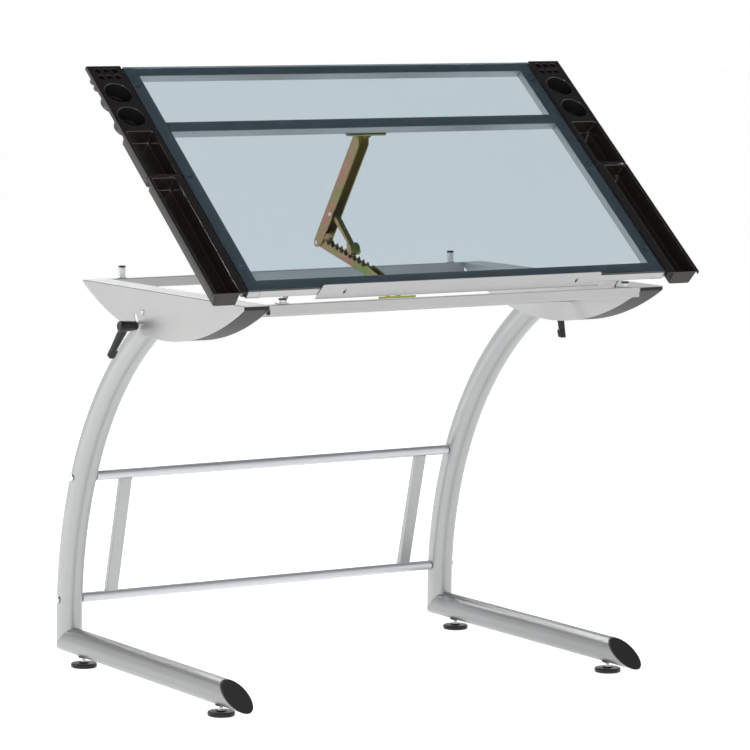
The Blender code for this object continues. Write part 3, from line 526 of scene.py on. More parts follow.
def weld(word, x):
    """Weld bead on the inside of the mitre."""
    rings = []
    for i in range(61):
        a = radians(-205 + 230 * i / 60)
        r = TUBE_R - 0.0003
        c, s = r * cos(a), r * sin(a)
        wave = 0.00013 * sin(i * 2.1)
        centre = Vector((x + c, FOOT_REAR_Y + s, FOOT_Z - s))
        across = Vector((cos(a), sin(a) * 0.7, -sin(a) * 0.7)).normalized()
        up = Vector((0, 0.7071, 0.7071))
        taper = min(1.0, 0.25 + min(i, 60 - i) / 4)
        rings.append([tuple(centre + (across * cos(2 * pi * k / 10) + up * sin(2 * pi * k / 10))
                            * (0.0011 + wave) * taper) for k in range(10)])
    o = solid(loft(rings), SHADED_TUBE_COAT)
    keep(o, word + "_weld_bead", "base", "silver_paint")


def foot_tube(word, x):
    stations = [(FOOT_FRONT_Y, FOOT_Z, 0.0), (FOOT_REAR_Y, FOOT_Z, 0.0)]
    skins = []
    for r in (TUBE_R, TUBE_R - TUBE_WALL):
        front, rear = tube_rings(stations, r, x)
        front = [(px, FOOT_FRONT_Y + TOE_SLOPE * (pz - FOOT_Z), pz) for px, _, pz in front]
        rear = to_mitre(rear, "y", -0.0001)
        middle = []
        for k in range(1, 12):
            middle.append([tuple(Vector(a).lerp(Vector(b), k / 12)) for a, b in zip(front, rear)])
        skins.append([front] + middle + [rear])
    o = solid(loft(skins[0] + skins[1][::-1], closed=True), SHADED_FOOT_COAT)
    for s in (-1, 1):
        cut(o, rod("Z", (x, Y0 + s * LEVELLER_Y, 0.0), 0.0045, 0, FOOT_Z))
    keep(o, word + "_foot_tube_shell", "base", "silver_paint", word + "_foot_tube")
    for s, spot in ((-1, "front"), (1, "rear")):
        at = (x, Y0 + s * LEVELLER_Y, 0)
        profile = ((0.0186, 0.0050), (0.0186, 0.0098), (0.0192, 0.0108), (0.0222, 0.0108), (0.0222, 0.0050))
        bm = loft([ring((at[0], at[1], d), "Z", r, 36) for d, r in profile], closed=True)
        keep(solid(bm, RUBBER), f"{word}_{spot}_stem_insert", "base", "black_plastic")


def foot_cap(word, x):
    rings = []
    flat = TUBE_R
    steps = ((flat * 0.30, -0.0058), (flat * 0.62, -0.0060), (flat * 0.86, -0.0061),
             (flat - 0.0012, -0.0062),
             (flat - 0.0005, -0.0057), (flat - 0.0001, -0.0048), (flat, -0.0036), (flat, -0.0008),
             (flat - 0.0004, -GAP),
             (flat - TUBE_WALL - GAP, -GAP), (flat - TUBE_WALL - GAP, 0.016))
    for r, d in steps:
        (row,) = tube_rings([(FOOT_FRONT_Y, FOOT_Z, 0.0)], r, x)
        rings.append([(px, FOOT_FRONT_Y + TOE_SLOPE * (pz - FOOT_Z) + d, pz) for px, _, pz in row])
    keep(solid(loft(rings), RUBBER), word + "_foot_cap_plug", "base", "black_plastic", word + "_foot_cap")


def leveller(word, spot, x, y):
    """Disc with a rounded rim and a raised hub; the stem's thread is one turned coil of ridges."""
    disc = [(0.0, PAD_R - 0.0022), (0.0004, PAD_R - 0.0012), (0.0012, PAD_R - 0.0004), (0.0024, PAD_R),
            (0.0062, PAD_R),
            (0.0074, PAD_R - 0.0005), (0.0082, PAD_R - 0.0016), (0.0086, PAD_R - 0.0034), (0.0086, 0.0120),
            (0.0093, 0.0100), (0.0104, 0.0088), (0.0104, 0.0040)]
    keep(solid(turned("Z", (x, y, 0), disc, 56), LEVER), f"{word}_{spot}_level_disc", f"{word}_{spot}_foot",
         "black_rubber", f"{word}_{spot}_leveller")
    stem = [(0.0096, 0.0032)]
    z = 0.0150
    stem += [(0.0104, 0.0058), (0.0116, 0.0058), (0.0122, 0.0050), (0.0124, 0.0038)]
    while z < 0.0455:
        stem += [(z, 0.0034), (z + 0.00035, 0.0039), (z + 0.0006, 0.0039), (z + 0.00095, 0.0034)]
        z += 0.00125
    keep(solid(turned("Z", (x, y, 0), stem, 24), CAP), f"{word}_{spot}_level_stem", f"{word}_{spot}_foot",
         "black_rubber")


def rail(word, z):
    y = ARC_Y + sqrt(ARC_R ** 2 - (z - ARC_Z) ** 2)
    inside = LEG_X - TUBE_R - GAP
    outside = LEG_X + TUBE_R + GAP
    tube = [(-inside, RAIL_R - 0.0008), (-inside + 0.0003, RAIL_R), (inside - 0.0003, RAIL_R),
            (inside, RAIL_R - 0.0008)]
    keep(solid(turned("X", (0, y, z), tube, 48), LIT_RAIL_COAT), word + "_rail_tube", "base", "silver_paint",
         word + "_rail")
    heads = []
    for s in (-1, 1):
        heads.append(rod("X", (s * (LEG_X + 0.0205), y, z), 0.0029, 0, s * 0.0048, 16))
        prof = [(0, 0.0070), (0.0012, 0.0074), (0.0026, 0.0070), (0.0038, 0.0056), (0.0046, 0.0034),
                (0.0050, 0.0015)]
        heads.append(turned("X", (s * outside, y, z), [(s * d, r) for d, r in prof], 32))
    keep(solid(merged(*heads), STEEL), word + "_rail_bolts", "base", "bright_steel")


def slat(word, x):
    rings = []
    for rail_z, s in ((RAIL_Z["lower"], 1), (RAIL_Z["upper"], -1)):
        y = ARC_Y + sqrt(ARC_R ** 2 - (rail_z - ARC_Z) ** 2)
        z = rail_z + s * (RAIL_R - 0.0012)
        pts = rounded(x - SLAT_W / 2, x + SLAT_W / 2, y - SLAT_T / 2, y + SLAT_T / 2, 0.0016, 5)
        rings.append([(px, py, z) for px, py in pts])
    keep(solid(loft(rings), SHADED_TUBE_COAT), word + "_slat_bar", "base", "silver_paint", word + "_slat")


def pivot_screw(word, side):
    out = PANEL_OUT + SHEET + GAP
    inn = PANEL_IN - SHEET - GAP
    shank = rod("X", (0, PIVOT_Y, PIVOT_Z), 0.0024, side * (inn - 0.001), side * (out + 0.001), 20)
    o = solid(screw_head("X", (side * out, PIVOT_Y, PIVOT_Z), side, 0.0048, 0.0028), STEEL)
    for bm in recess("X", (side * out, PIVOT_Y, PIVOT_Z), side, 0.0048, 0.0014, 0.0028):
        combine(o, bm, "DIFFERENCE")
    join(o, shank)
    nut = ring((side * inn, PIVOT_Y, PIVOT_Z), "X", 0.0048, 6)
    join(o, loft([nut, [(x - side * 0.0032, y, z) for x, y, z in nut]]))
    keep(o, word + "_pivot_screw_cross", "base", "bright_steel", word + "_pivot_screw")


def clamp_lever(word, side):
    """Handle lofted along its length, with a flared end, on a tapered hub."""
    angle = LEVER_ANGLE[word]
    place = at_axis(STUD_Y, STUD_Z)
    out = PANEL_OUT + SHEET + GAP
    hub = [(0.0042, 0.0060), (0.0044, 0.0074), (0.0060, 0.0084), (0.0200, 0.0095), (0.0340, 0.0103),
           (0.0380, 0.0104),
           (0.0404, 0.0098), (0.0416, 0.0084), (0.0420, 0.0062), (0.0420, 0.0052), (0.0412, 0.0046),
           (0.0411, 0.0020)]
    o = solid(turned("X", (0, 0, 0), [(side * (out + d), r) for d, r in hub], 48), LEVER, place)
    down = Vector((0, cos(angle), sin(angle)))
    across = Vector((0, -sin(angle), cos(angle)))
    rings = []
    shape = ((-0.0060, 0.0085, 0.0225, 0.0360), (0.0120, 0.0082, 0.0260, 0.0375),
             (0.0340, 0.0070, 0.0315, 0.0415),
             (0.0495, 0.0064, 0.0352, 0.0444), (0.0512, 0.0065, 0.0346, 0.0446),
             (0.0524, 0.0066, 0.0326, 0.0449),
             (0.0540, 0.0067, 0.0322, 0.0453), (0.0630, 0.0070, 0.0345, 0.0470),
             (0.0658, 0.0070, 0.0352, 0.0472),
             (0.0668, 0.0066, 0.0358, 0.0470), (0.0670, 0.0056, 0.0368, 0.0460))
    for d, half, inner, outer in shape:
        mid = down * d + Vector((side * (out + (inner + outer) / 2), 0, 0))
        row = []
        for k in range(32):
            a = 2 * pi * k / 32
            c, s = cos(a), sin(a)
            q = 1.0 / (abs(c) ** 5 + abs(s) ** 5) ** 0.2
            outward = Vector((side * s * q * (outer - inner) / 2, 0, 0))
            row.append(tuple(mid + across * (c * q * half) + outward))
        rings.append(row)
    join(o, loft(rings))
    keep(o, word + "_lever_handle", word + "_lever", "black_plastic", word + "_clamp_lever")
    stud = turned("X", (0, 0, 0), [(side * d, r) for d, r in ((LEG_X + 0.018, 0.0039),
                                                              (out + 0.0045, 0.0039))], 24)
    wash = [(0.0, 0.0078), (0.0002, 0.0084), (0.0018, 0.0084), (0.0021, 0.0080), (0.0022, 0.0064),
            (0.0044, 0.0062)]
    w = turned("X", (0, 0, 0), [(side * (out + d), r) for d, r in wash], 40)
    keep(solid(merged(stud, w), STEEL, place), word + "_lever_stud", word + "_lever", "bright_steel")


# ---- head -------------------------------------------------------------------------------
def belly(y, r=BELLY_R):
    return BELLY_Z - sqrt(r ** 2 - (y - BELLY_Y) ** 2)


def lens(top=HEAD_TOP):
    rear = BELLY_Y + sqrt(BELLY_R ** 2 - (BELLY_Z - top) ** 2)
    n = 72
    under = [HEAD_FRONT + (rear - HEAD_FRONT) * i / n for i in range(n)]
    return [(y, belly(y)) for y in under] + [(rear, top), (HEAD_FRONT, top)]


def slot_arc(half):
    dy, dz = STUD_Y - PIVOT_Y, STUD_Z - PIVOT_Z
    r, a = hypot(dy, dz), atan2(dz, dy)
    far = a + HEAD_SWING
    out = arc(PIVOT_Y, PIVOT_Z, r + half, a, far, 16)
    ey, ez = PIVOT_Y + r * cos(far), PIVOT_Z + r * sin(far)
    out += arc(ey, ez, half, far, far + pi, 12)[1:-1]
    out += arc(PIVOT_Y, PIVOT_Z, r - half, far, a, 16)
    out += arc(STUD_Y, STUD_Z, half, a + pi, a + 2 * pi, 12)[1:-1]
    return out


def housing(word, side):
    o = solid(prism(lens(HEAD_TOP - SEAM), side * PANEL_OUT, side * (PANEL_OUT + SHEET)), SILVER)
    x = side * (PANEL_OUT - 0.005)
    cut(o, prism(slot_arc(0.0045), x, side * (PANEL_OUT + 0.008)),
        rod("X", (x, PIVOT_Y, PIVOT_Z), PIVOT_HOLE_R, 0, side * 0.013))
    keep(soften(o, 0.0004), word + "_outer_cheek", "head", "silver_paint", word + "_outer_panel")
    # A thin black strip under the top plate's edge: the painted shadow of the seam between the outer cheek
    # and the top.
    x0, x1 = sorted((side * (PANEL_OUT + 0.0001), side * (PANEL_OUT + SHEET - 0.0004)))
    shadow_line = box(x0, x1, HEAD_FRONT + 0.001, REAR_BAR_Y, HEAD_TOP - SEAM - 0.0005, HEAD_TOP - 0.0001)
    keep(soften(solid(shadow_line, RUBBER), 0.0001), word + "_seam_painted_shadow", "head", "charcoal_paint")
    top = HEAD_TOP - SHEET
    rear = REAR_BAR_Y + BAR_D / 2
    o = solid(prism(lens(), side * (PANEL_IN - SHEET), side * PANEL_IN), SILVER)
    x0, x1 = sorted((side * (PANEL_IN - SHEET), side * (PANEL_OUT - GAP)))
    join(o, box(x0, x1, HEAD_FRONT, rear, top, HEAD_TOP))
    cut(o, rod("X", (side * (PANEL_IN - 0.01), PIVOT_Y, PIVOT_Z), PIVOT_HOLE_R, 0, side * 0.02))
    keep(soften(o, 0.0005), word + "_inner_cheek_and_top", "head", "silver_paint", word + "_inner_shell")
    r_in = BELLY_R - SHEET
    n = 40
    front = HEAD_FRONT + GAP
    ys = [front + (BELLY_END - front) * i / n for i in range(n + 1)]
    low = [(y, belly(y) + GAP) for y in ys]
    high = [(y, belly(y, r_in) + GAP) for y in reversed(ys)]
    nose = [(front + SHEET, belly(front + SHEET, r_in) + GAP), (front + SHEET, HEAD_TOP - SHEET - GAP),
            (front, HEAD_TOP - SHEET - GAP)]
    o = solid(prism(low + high[:-1] + nose, side * (PANEL_IN + GAP), side * (PANEL_OUT - GAP)), CHARCOAL)
    keep(o, word + "_belly_strip", "head", "charcoal_paint", word + "_front_strip")


def crossbar(word, y, z):
    half = PANEL_IN - SHEET - GAP
    d, h, w = BAR_D / 2, BAR_H / 2, 0.0015
    rings = []
    for x, k in ((-half, 0), (half, 0), (half, w), (-half, w)):
        pts = rounded(y - d + k, y + d - k, z - h + k, z + h - k, 0.0016 if k == 0 else 0.0004, 4)
        rings.append([(x, py, pz) for py, pz in pts])
    keep(solid(loft(rings, closed=True), SILVER), word + "_bar_tube", "head", "silver_paint",
         word + "_crossbar")
    caps = []
    for s in (-1, 1):
        ys = (y - d + w + 0.0001, y + d - w - 0.0001)
        zs = (z - h + w + 0.0001, z + h - w - 0.0001)
        pts = rounded(*ys, *zs, 0.0005, 3)
        caps.append(loft([[(s * x, py, pz) for py, pz in pts] for x in (half - 0.0120, half - 0.0010)]))
    keep(solid(merged(*caps), CHARCOAL), word + "_bar_end_blocks", "head", "charcoal_paint")


def rear_post(word, x):
    foot = HEAD_TOP + GAP
    profile = ((foot, 0.0078), (foot + 0.0004, 0.0085), (foot + 0.0017, 0.0085), (foot + 0.0022, 0.0080),
               (foot + 0.0024, 0.0068), (foot + 0.0090, 0.0068), (foot + 0.0093, 0.0064),
               (foot + 0.0101, 0.0064),
               (foot + 0.0104, 0.0068), (REAR_POST_TOP - 0.0035, 0.0068))
    keep(solid(turned("Z", (x, REAR_BAR_Y, 0), profile, 40), CAP), word + "_rear_stop", "head",
         "silver_paint",
         word + "_rear_post")
    top = REAR_POST_TOP
    cap = ((top - 0.0035 + GAP, 0.0066), (top - 0.0029, 0.0070), (top - 0.0010, 0.0070),
           (top - 0.0004, 0.0066),
           (top - 0.0001, 0.0058), (top, 0.0040))
    keep(solid(turned("Z", (x, REAR_BAR_Y, 0), cap, 40), RUBBER), word + "_rear_stop_cap", "head",
         "black_rubber",
         word + "_rear_post_cap")


def hinge_bracket(word, side):
    top = HEAD_TOP + GAP
    back = FRONT_BAR_Y + BAR_D / 2 + GAP
    x0, x1 = 0.3586, 0.3612
    outline = ((x0, back + 0.012), (x0, back - 0.0140), (0.3800, back - 0.0140), (0.3800, back), (x1, back),
               (x1, back + 0.012))
    o = solid(plate([(side * x, y) for x, y in outline], top, top + 0.0020), SILVER)
    cheek = [(back, 0.7360), (back + 0.0150, 0.7360), (back + 0.0150, 0.7550), (back, top + 0.0020)]
    join(o, prism(cheek, side * x0, side * x1))
    keep(o, word + "_hinge_plate", "head", "silver_paint", word + "_hinge_bracket")
    pin = [(0.3534, 0.0030), (0.3537, 0.0044), (0.3544, 0.0046), (0.3546, 0.0044), (0.3546, 0.0030),
           (0.3600, 0.0030)]
    bm = turned("X", (0, HINGE_Y, HINGE_Z), [(side * d, r) for d, r in pin], 28)
    keep(solid(bm, STEEL), word + "_hinge_pin", "head", "bright_steel")
    y = FRONT_BAR_Y - 0.0010
    post = ((top + 0.0021, 0.0068), (top + 0.0030, 0.0068), (top + 0.0034, 0.0058),
            (FRONT_POST_TOP - 0.0034, 0.0058))
    keep(solid(turned("Z", (side * POST_X, y, 0), post, 36), CAP), word + "_front_stop", "head",
         "silver_paint")
    t = FRONT_POST_TOP
    cap = ((t - 0.0034, 0.0060), (t - 0.0032, 0.0068), (t - 0.0026, 0.0072), (t - 0.0009, 0.0072),
           (t - 0.0003, 0.0067),
           (t, 0.0054))
    keep(solid(turned("Z", (side * POST_X, y, 0), cap, 36), RUBBER), word + "_front_stop_cap", "head",
         "black_rubber")


def base_bracket():
    z = MID_BAR_Z + BAR_H / 2 + GAP
    y0, y1 = MID_BAR_Y - 0.0090, MID_BAR_Y + 0.0080
    o = solid(plate(rounded(-0.0440, 0.0440, y0, y1, 0.003), z, z + 0.0030), ZINC)
    join(o, box(-0.0405, 0.0405, y0, y0 + 0.0022, z + 0.0010, z + 0.0085))
    ey, ez = FOOT_PIN
    ear = [(y0 + 0.002, z + 0.001), (y1, z + 0.001)] + arc(ey, ez, 0.0085, radians(-60), radians(100), 20)
    for s in (-1, 1):
        join(o, prism(ear, s * 0.0100, s * 0.0122))
        join(o, turned("X", (0, ey, ez), ((s * 0.0120, 0.0046), (s * 0.0130, 0.0042), (s * 0.0138, 0.0028)),
                       24))
        join(o, screw_head("Z", (s * 0.0330, MID_BAR_Y - 0.0005, z + 0.0029), 1, 0.0042, 0.0022))
    keep(o, "support_foot_bracket", "head", "yellow_zinc", "support_base_bracket")


# ---- board ------------------------------------------------------------------------------
def member_mesh(x0, x1, u0, u1):
    z0, z1 = FRAME_H, FRAME_H + FRAME_T
    w = MEMBER_WALL
    u0, u1 = u0 + FRAME_U, u1 + FRAME_U
    long_x = (x1 - x0) > (u1 - u0)
    rings = []
    for end, k in ((0, 0), (1, 0), (1, w), (0, w)):
        r = 0.0013 if k == 0 else 0.0004
        if long_x:
            rings.append([((x0, x1)[end], a, b) for a, b in rounded(u0 + k, u1 - k, z0 + k, z1 - k, r, 4)])
        else:
            rings.append([(a, (u0, u1)[end], b) for a, b in rounded(x0 + k, x1 - k, z0 + k, z1 - k, r, 4)])
    return loft(rings, closed=True)


def frame_members():
    inner = FRAME_W / 2 - SIDE_W - 0.0001
    z0, z1 = FRAME_H, FRAME_H + FRAME_T
    for word, side in (("left", -1), ("right", 1)):
        x1 = FRAME_W / 2
        xs = sorted((side * (x1 - SIDE_W), side * x1))
        o = solid(member_mesh(xs[0], xs[1], 0.0, FRAME_D), SILVER, BOARD)
        u0, u1 = FRAME_U + 0.004, FRAME_U + FRAME_D - 0.006
        web = sorted((side * (x1 - 0.0008), side * 0.4570))
        strip = sorted((side * 0.4556, side * 0.4570))
        join(o, box(web[0], web[1], u0, u1, z0, z0 + 0.0015))
        join(o, box(strip[0], strip[1], u0, u1, z0, GLASS_TOP - 0.0032))
        for u in PAD_US:
            cut(o, rod("Z", (side * PAD_X, FRAME_U + u, z1 - 0.005), 0.0080, 0, 0.010, 40))
        keep(o, word + "_side_rail", "board", "silver_paint", word + "_frame_member")
    o = solid(member_mesh(-inner, inner, 0.0, FRONT_W), SILVER, BOARD)
    ear = arc(0.0, 0.0, 0.0055, pi, 2 * pi, 16) + [(0.0125, 0.0130), (0.0175, FRAME_H + 0.0007)]
    ear += [(0.0010, FRAME_H + 0.0007), (0.0010, 0.0060)] + arc(0.0, 0.0, 0.0055, radians(120), pi, 6)[:-1]
    for s in (-1, 1):
        join(o, prism(ear, s * 0.3550, s * 0.3580))
        cut(o, rod("X", (0, 0, 0), 0.0033, s * 0.3500, s * 0.3600))
        cut(o, rod("Y", (s * LEDGE_SCREW_X, FRAME_U - 0.003, GLASS_TOP - LEDGE_SCREW_DROP), 0.0022, 0,
                   0.010, 20))
    keep(o, "front_rail_with_ears", "board", "silver_paint", "front_frame_member")
    o = solid(member_mesh(-inner, inner, CROSS_U, CROSS_U + CROSS_W), SILVER, BOARD)
    keep(o, "cross_rail", "board", "silver_paint", "cross_frame_member")
    o = solid(member_mesh(-inner, inner, FRAME_D - REAR_W, FRAME_D), SILVER, BOARD)
    keep(o, "rear_rail", "board", "silver_paint", "rear_frame_member")


def suction_pad(word, spot, side, u):
    top = FRAME_H + FRAME_T + 0.0001
    profile = ((top - 0.0042, 0.0046), (top - 0.0040, 0.0050), (top - 0.0030, 0.0051),
               (top - 0.0020, 0.0055),
               (top - 0.0012, 0.0064), (top - 0.0006, 0.0074), (top - 0.0002, 0.0077), (top, 0.0075),
               (top, 0.0064),
               (top - 0.0006, 0.0055), (top - 0.0011, 0.0035), (top - 0.0012, 0.0010))
    o = solid(turned("Z", (side * PAD_X, FRAME_U + u, 0), profile, 48), VINYL, BOARD)
    keep(o, f"{word}_{spot}_suction_cup", "board", "clear_vinyl", f"{word}_{spot}_pad")


def end_plug(word, side):
    u = FRAME_U + FRAME_D
    x = sorted((side * (FRAME_W / 2 - SIDE_W), side * FRAME_W / 2))
    z0, z1 = FRAME_H, FRAME_H + FRAME_T
    k = MEMBER_WALL + GAP
    rings = []
    for d, s in ((-0.012, k), (GAP, k), (GAP, 0.0001), (0.0018, 0.0), (0.0026, 0.0005), (0.0030, 0.0015)):
        pts = rounded(x[0] + s, x[1] - s, z0 + s, z1 - s, 0.0016, 3)
        rings.append([(px, u + d, pz) for px, pz in pts])
    keep(solid(loft(rings), RUBBER, BOARD), word + "_rail_plug", "board", "black_plastic",
         word + "_end_plug")
    pts = rounded(x[0] + k, x[1] - k, z0 + k, z1 - k, 0.0016, 3)
    stub = loft([[(px, FRAME_U + d, pz) for px, pz in pts] for d in (0.0004, 0.0120)])
    keep(solid(stub, SILVER, BOARD), word + "_rail_front_web", "board", "silver_paint")


def glass_panel():
    """The pane, with its ground rim on a second, near-black material that is painted shade, and the rim's
    lit rear stretch on a third, light material that is a painted highlight.
    """
    z0 = FRAME_H + FRAME_T + GAP
    e = 0.0007
    rings = []
    for z, k in ((z0, e), (z0 + e * 0.3, e * 0.3), (z0 + e, 0), (GLASS_TOP - e, 0),
                 (GLASS_TOP - e * 0.3, e * 0.3),
                 (GLASS_TOP, e)):
        pts = rounded(-GLASS_W / 2 + k, GLASS_W / 2 - k, FRAME_U + k, FRAME_U + FRAME_D - k, 0.004 - k / 2,
                      6)
        rings.append([(x, y, z) for x, y in pts])
    o = solid(loft(rings), [GLASS, SHADED_GLASS_EDGE, LIT_GLASS_EDGE], BOARD)
    up = BOARD.to_3x3() @ Vector((0, 0, 1))
    rearward = BOARD.to_3x3() @ Vector((0, 1, 0))
    for f in o.data.polygons:
        # Rim faces take the dark painted-shade copy, and those facing rearward take the light
        # painted-highlight copy.
        if abs(f.normal.dot(up)) < 0.97:
            f.material_index = 2 if f.normal.dot(rearward) > 0.3 else 1
    keep(o, "glass_pane", "board", "tinted_glass", "glass_panel")


def ledge():
    y1 = FRAME_U - GAP
    y0 = y1 - 0.0020
    top, bottom = GLASS_TOP + 0.0060, GLASS_TOP - 0.0285
    corner = arc(0.2945, top - 0.0060, 0.0060, radians(-12), pi / 2, 14)
    foot = arc(0.3040, bottom + 0.0015, 0.0015, radians(-90), radians(-12), 5)
    pts = [(-x, z) for x, z in reversed(foot)] + foot + corner + [(-x, z) for x, z in reversed(corner)]
    o = solid(loft([[(x, y, z) for x, z in pts] for y in (y0, y1)]), SATIN, BOARD)
    for s in (-1, 1):
        z = GLASS_TOP - LEDGE_SCREW_DROP
        r = 0.0026
        hole = arc(s * LEDGE_SCREW_X, z + LEDGE_TRAVEL, r, 0.0, pi, 14) + arc(s * LEDGE_SCREW_X, z, r, pi,
                                                                              2 * pi, 14)
        cut(o, loft([[(x, y, zz) for x, zz in hole] for y in (y0 - 0.002, y1 + 0.002)]))
    keep(soften(o, 0.0004), "pencil_ledge_plate", "ledge", "silver_paint", "pencil_ledge")


def ledge_screw(word, side):
    y = FRAME_U - GAP - 0.0020 - GAP
    at = (side * LEDGE_SCREW_X, y, GLASS_TOP - LEDGE_SCREW_DROP)
    o = solid(screw_head("Y", at, -1, 0.0045, 0.0017), STEEL, BOARD)
    join(o, rod("Y", at, 0.0018, 0, 0.0088, 20))
    for bm in recess("Y", at, -1, 0.0045, 0.0010, 0.0017):
        combine(o, bm, "DIFFERENCE")
    keep(o, word + "_ledge_cross_screw", "board", "bright_steel", word + "_ledge_screw")


def top_bracket():
    z = FRAME_H - GAP
    u = TOP_PIN_U
    o = solid(plate(rounded(-0.0440, 0.0440, u - 0.0140, u + 0.0130, 0.003), z - 0.0030, z), ZINC, BOARD)
    ear = [(u + 0.0100, z - 0.001), (u - 0.0110, z - 0.001)]
    ear += arc(u, TOP_PIN_H, 0.0075, radians(190), radians(360), 20)
    for s in (-1, 1):
        join(o, prism(ear, s * 0.0125, s * 0.0145))
        join(o, screw_head("Z", (s * 0.0330, u - 0.0005, z - 0.0029), -1, 0.0042, 0.0022))
    pin = ((-0.0162, 0.0034), (-0.0156, 0.0042), (-0.0140, 0.0044), (-0.0140, 0.0030), (0.0140, 0.0030),
           (0.0140, 0.0044), (0.0156, 0.0042), (0.0162, 0.0034))
    join(o, turned("X", (0, u, TOP_PIN_H), pin, 28))
    keep(o, "support_head_bracket", "board", "yellow_zinc", "support_top_bracket")


# ---- trays ------------------------------------------------------------------------------
def rim(side, u0, u1):
    t = TRAY_WALL
    top = GLASS_TOP
    x0, x1 = TRAY_IN, TRAY_OUT
    section = [(x0, top - 0.0140), (x0 + 0.0022, top - 0.0140), (x0 + 0.0022, top - t),
               (x1 - 0.0017, top - t),
               (x1 - 0.0017, top - 0.0070), (x1, top - 0.0070)]
    section += arc(x1 - 0.0015, top - 0.0015, 0.0015, 0, pi / 2, 5) + arc(x0 + 0.0010, top - 0.0010, 0.0010,
                                                                          pi / 2, pi, 4)
    return loft([[(side * x, u, z) for x, z in section] for u in (u0, u1)])


def fillet():
    """Rise and widening of the rounded edge round an opening in a tray."""
    return [(FILLET * sin(a), FILLET * (1 - cos(a))) for a in (radians(15 * k) for k in range(7))]


def trough(side, u0, u1, x0, x1, depth, wall=0.0, draft=0.0050, floor_r=0.0):
    """A tray's body or the hollow in it, with a sloping outer wall and a rounded floor."""
    top = GLASS_TOP
    low = top - depth
    high = top + (0.004 if wall else -0.001)
    levels = [(low, floor_r)]
    if floor_r:
        for k in range(1, 6):
            a = k * pi / 10
            levels.append((low + floor_r * (1 - cos(a)), floor_r * (1 - sin(a))))
    if wall:
        levels += [(top - FILLET + z, -k) for z, k in fillet()]
    levels.append((high, -FILLET if wall else 0.0))
    rings = []
    for z, k in levels:
        d = draft * (1 - (z - low) / (high - low))
        a, b = x0 + wall + k, x1 - wall - d - k
        r = 0.0050 if wall else 0.0045
        outline = rounded(a, b, u0 + wall + k, u1 - wall - k, max(0.0012, r - k * 0.6), 6)
        rings.append([(side * x, y, z) for x, y in outline])
    return loft(rings)


def two_tone(o, side):
    """Outer faces of a tray are grained; what faces its inside and its top is smooth."""
    place = home(o).inverted()
    up = home(o).to_3x3() @ Vector((0, 0, 1))
    for f in o.data.polygons:
        c = place @ f.center
        n = place.to_3x3() @ f.normal
        x, nx = abs(c.x), n.x * side
        outside = (n.z < -0.5) or (c.z < GLASS_TOP - 0.0001 and nx > 0.3 and x > TROUGH_OUT - 0.0062)
        outside = outside or (nx < -0.3 and x < TROUGH_IN + 0.0005) or f.normal.dot(up) < -0.5
        f.material_index = 1 if outside else 0


def front_tray(word, side):
    u0, u1 = FRAME_U - 0.0060, FRAME_U + 0.2990
    o = solid(rim(side, u0, u1), [GLOSS, GRAIN], BOARD)
    join(o, trough(side, u0, u1, TROUGH_IN, TROUGH_OUT, TRAY_DEPTH, floor_r=0.0035))
    cut(o, trough(side, u0, u1, TROUGH_IN, TROUGH_OUT, TRAY_DEPTH - TRAY_WALL, TRAY_WALL, floor_r=0.0030))
    two_tone(o, side)
    grain_end(o, u0)
    keep(o, word + "_front_tray_shell", word + "_front_tray", "black_plastic", word + "_front_tray")


def grain_end(o, u0):
    place = home(o).inverted()
    for f in o.data.polygons:
        n = place.to_3x3() @ f.normal
        c = place @ f.center
        if abs(n.y) > 0.7 and (abs(c.y - u0) < 0.0008 or abs(c.y - (FRAME_U + 0.6060)) < 0.0008):
            f.material_index = 1


def shade_cup_recesses(o, side):
    """The walls and floors of the cups are matt, and darker as painted shade in the recesses."""
    place = home(o).inverted()
    for f in o.data.polygons:
        c = place @ f.center
        for u in CUP_US:
            if hypot(c.x - side * CUP_X, c.y - FRAME_U - u) < CUP_R and c.z < GLASS_TOP - 0.0100:
                f.material_index = 2 if f.material_index == 0 else f.material_index


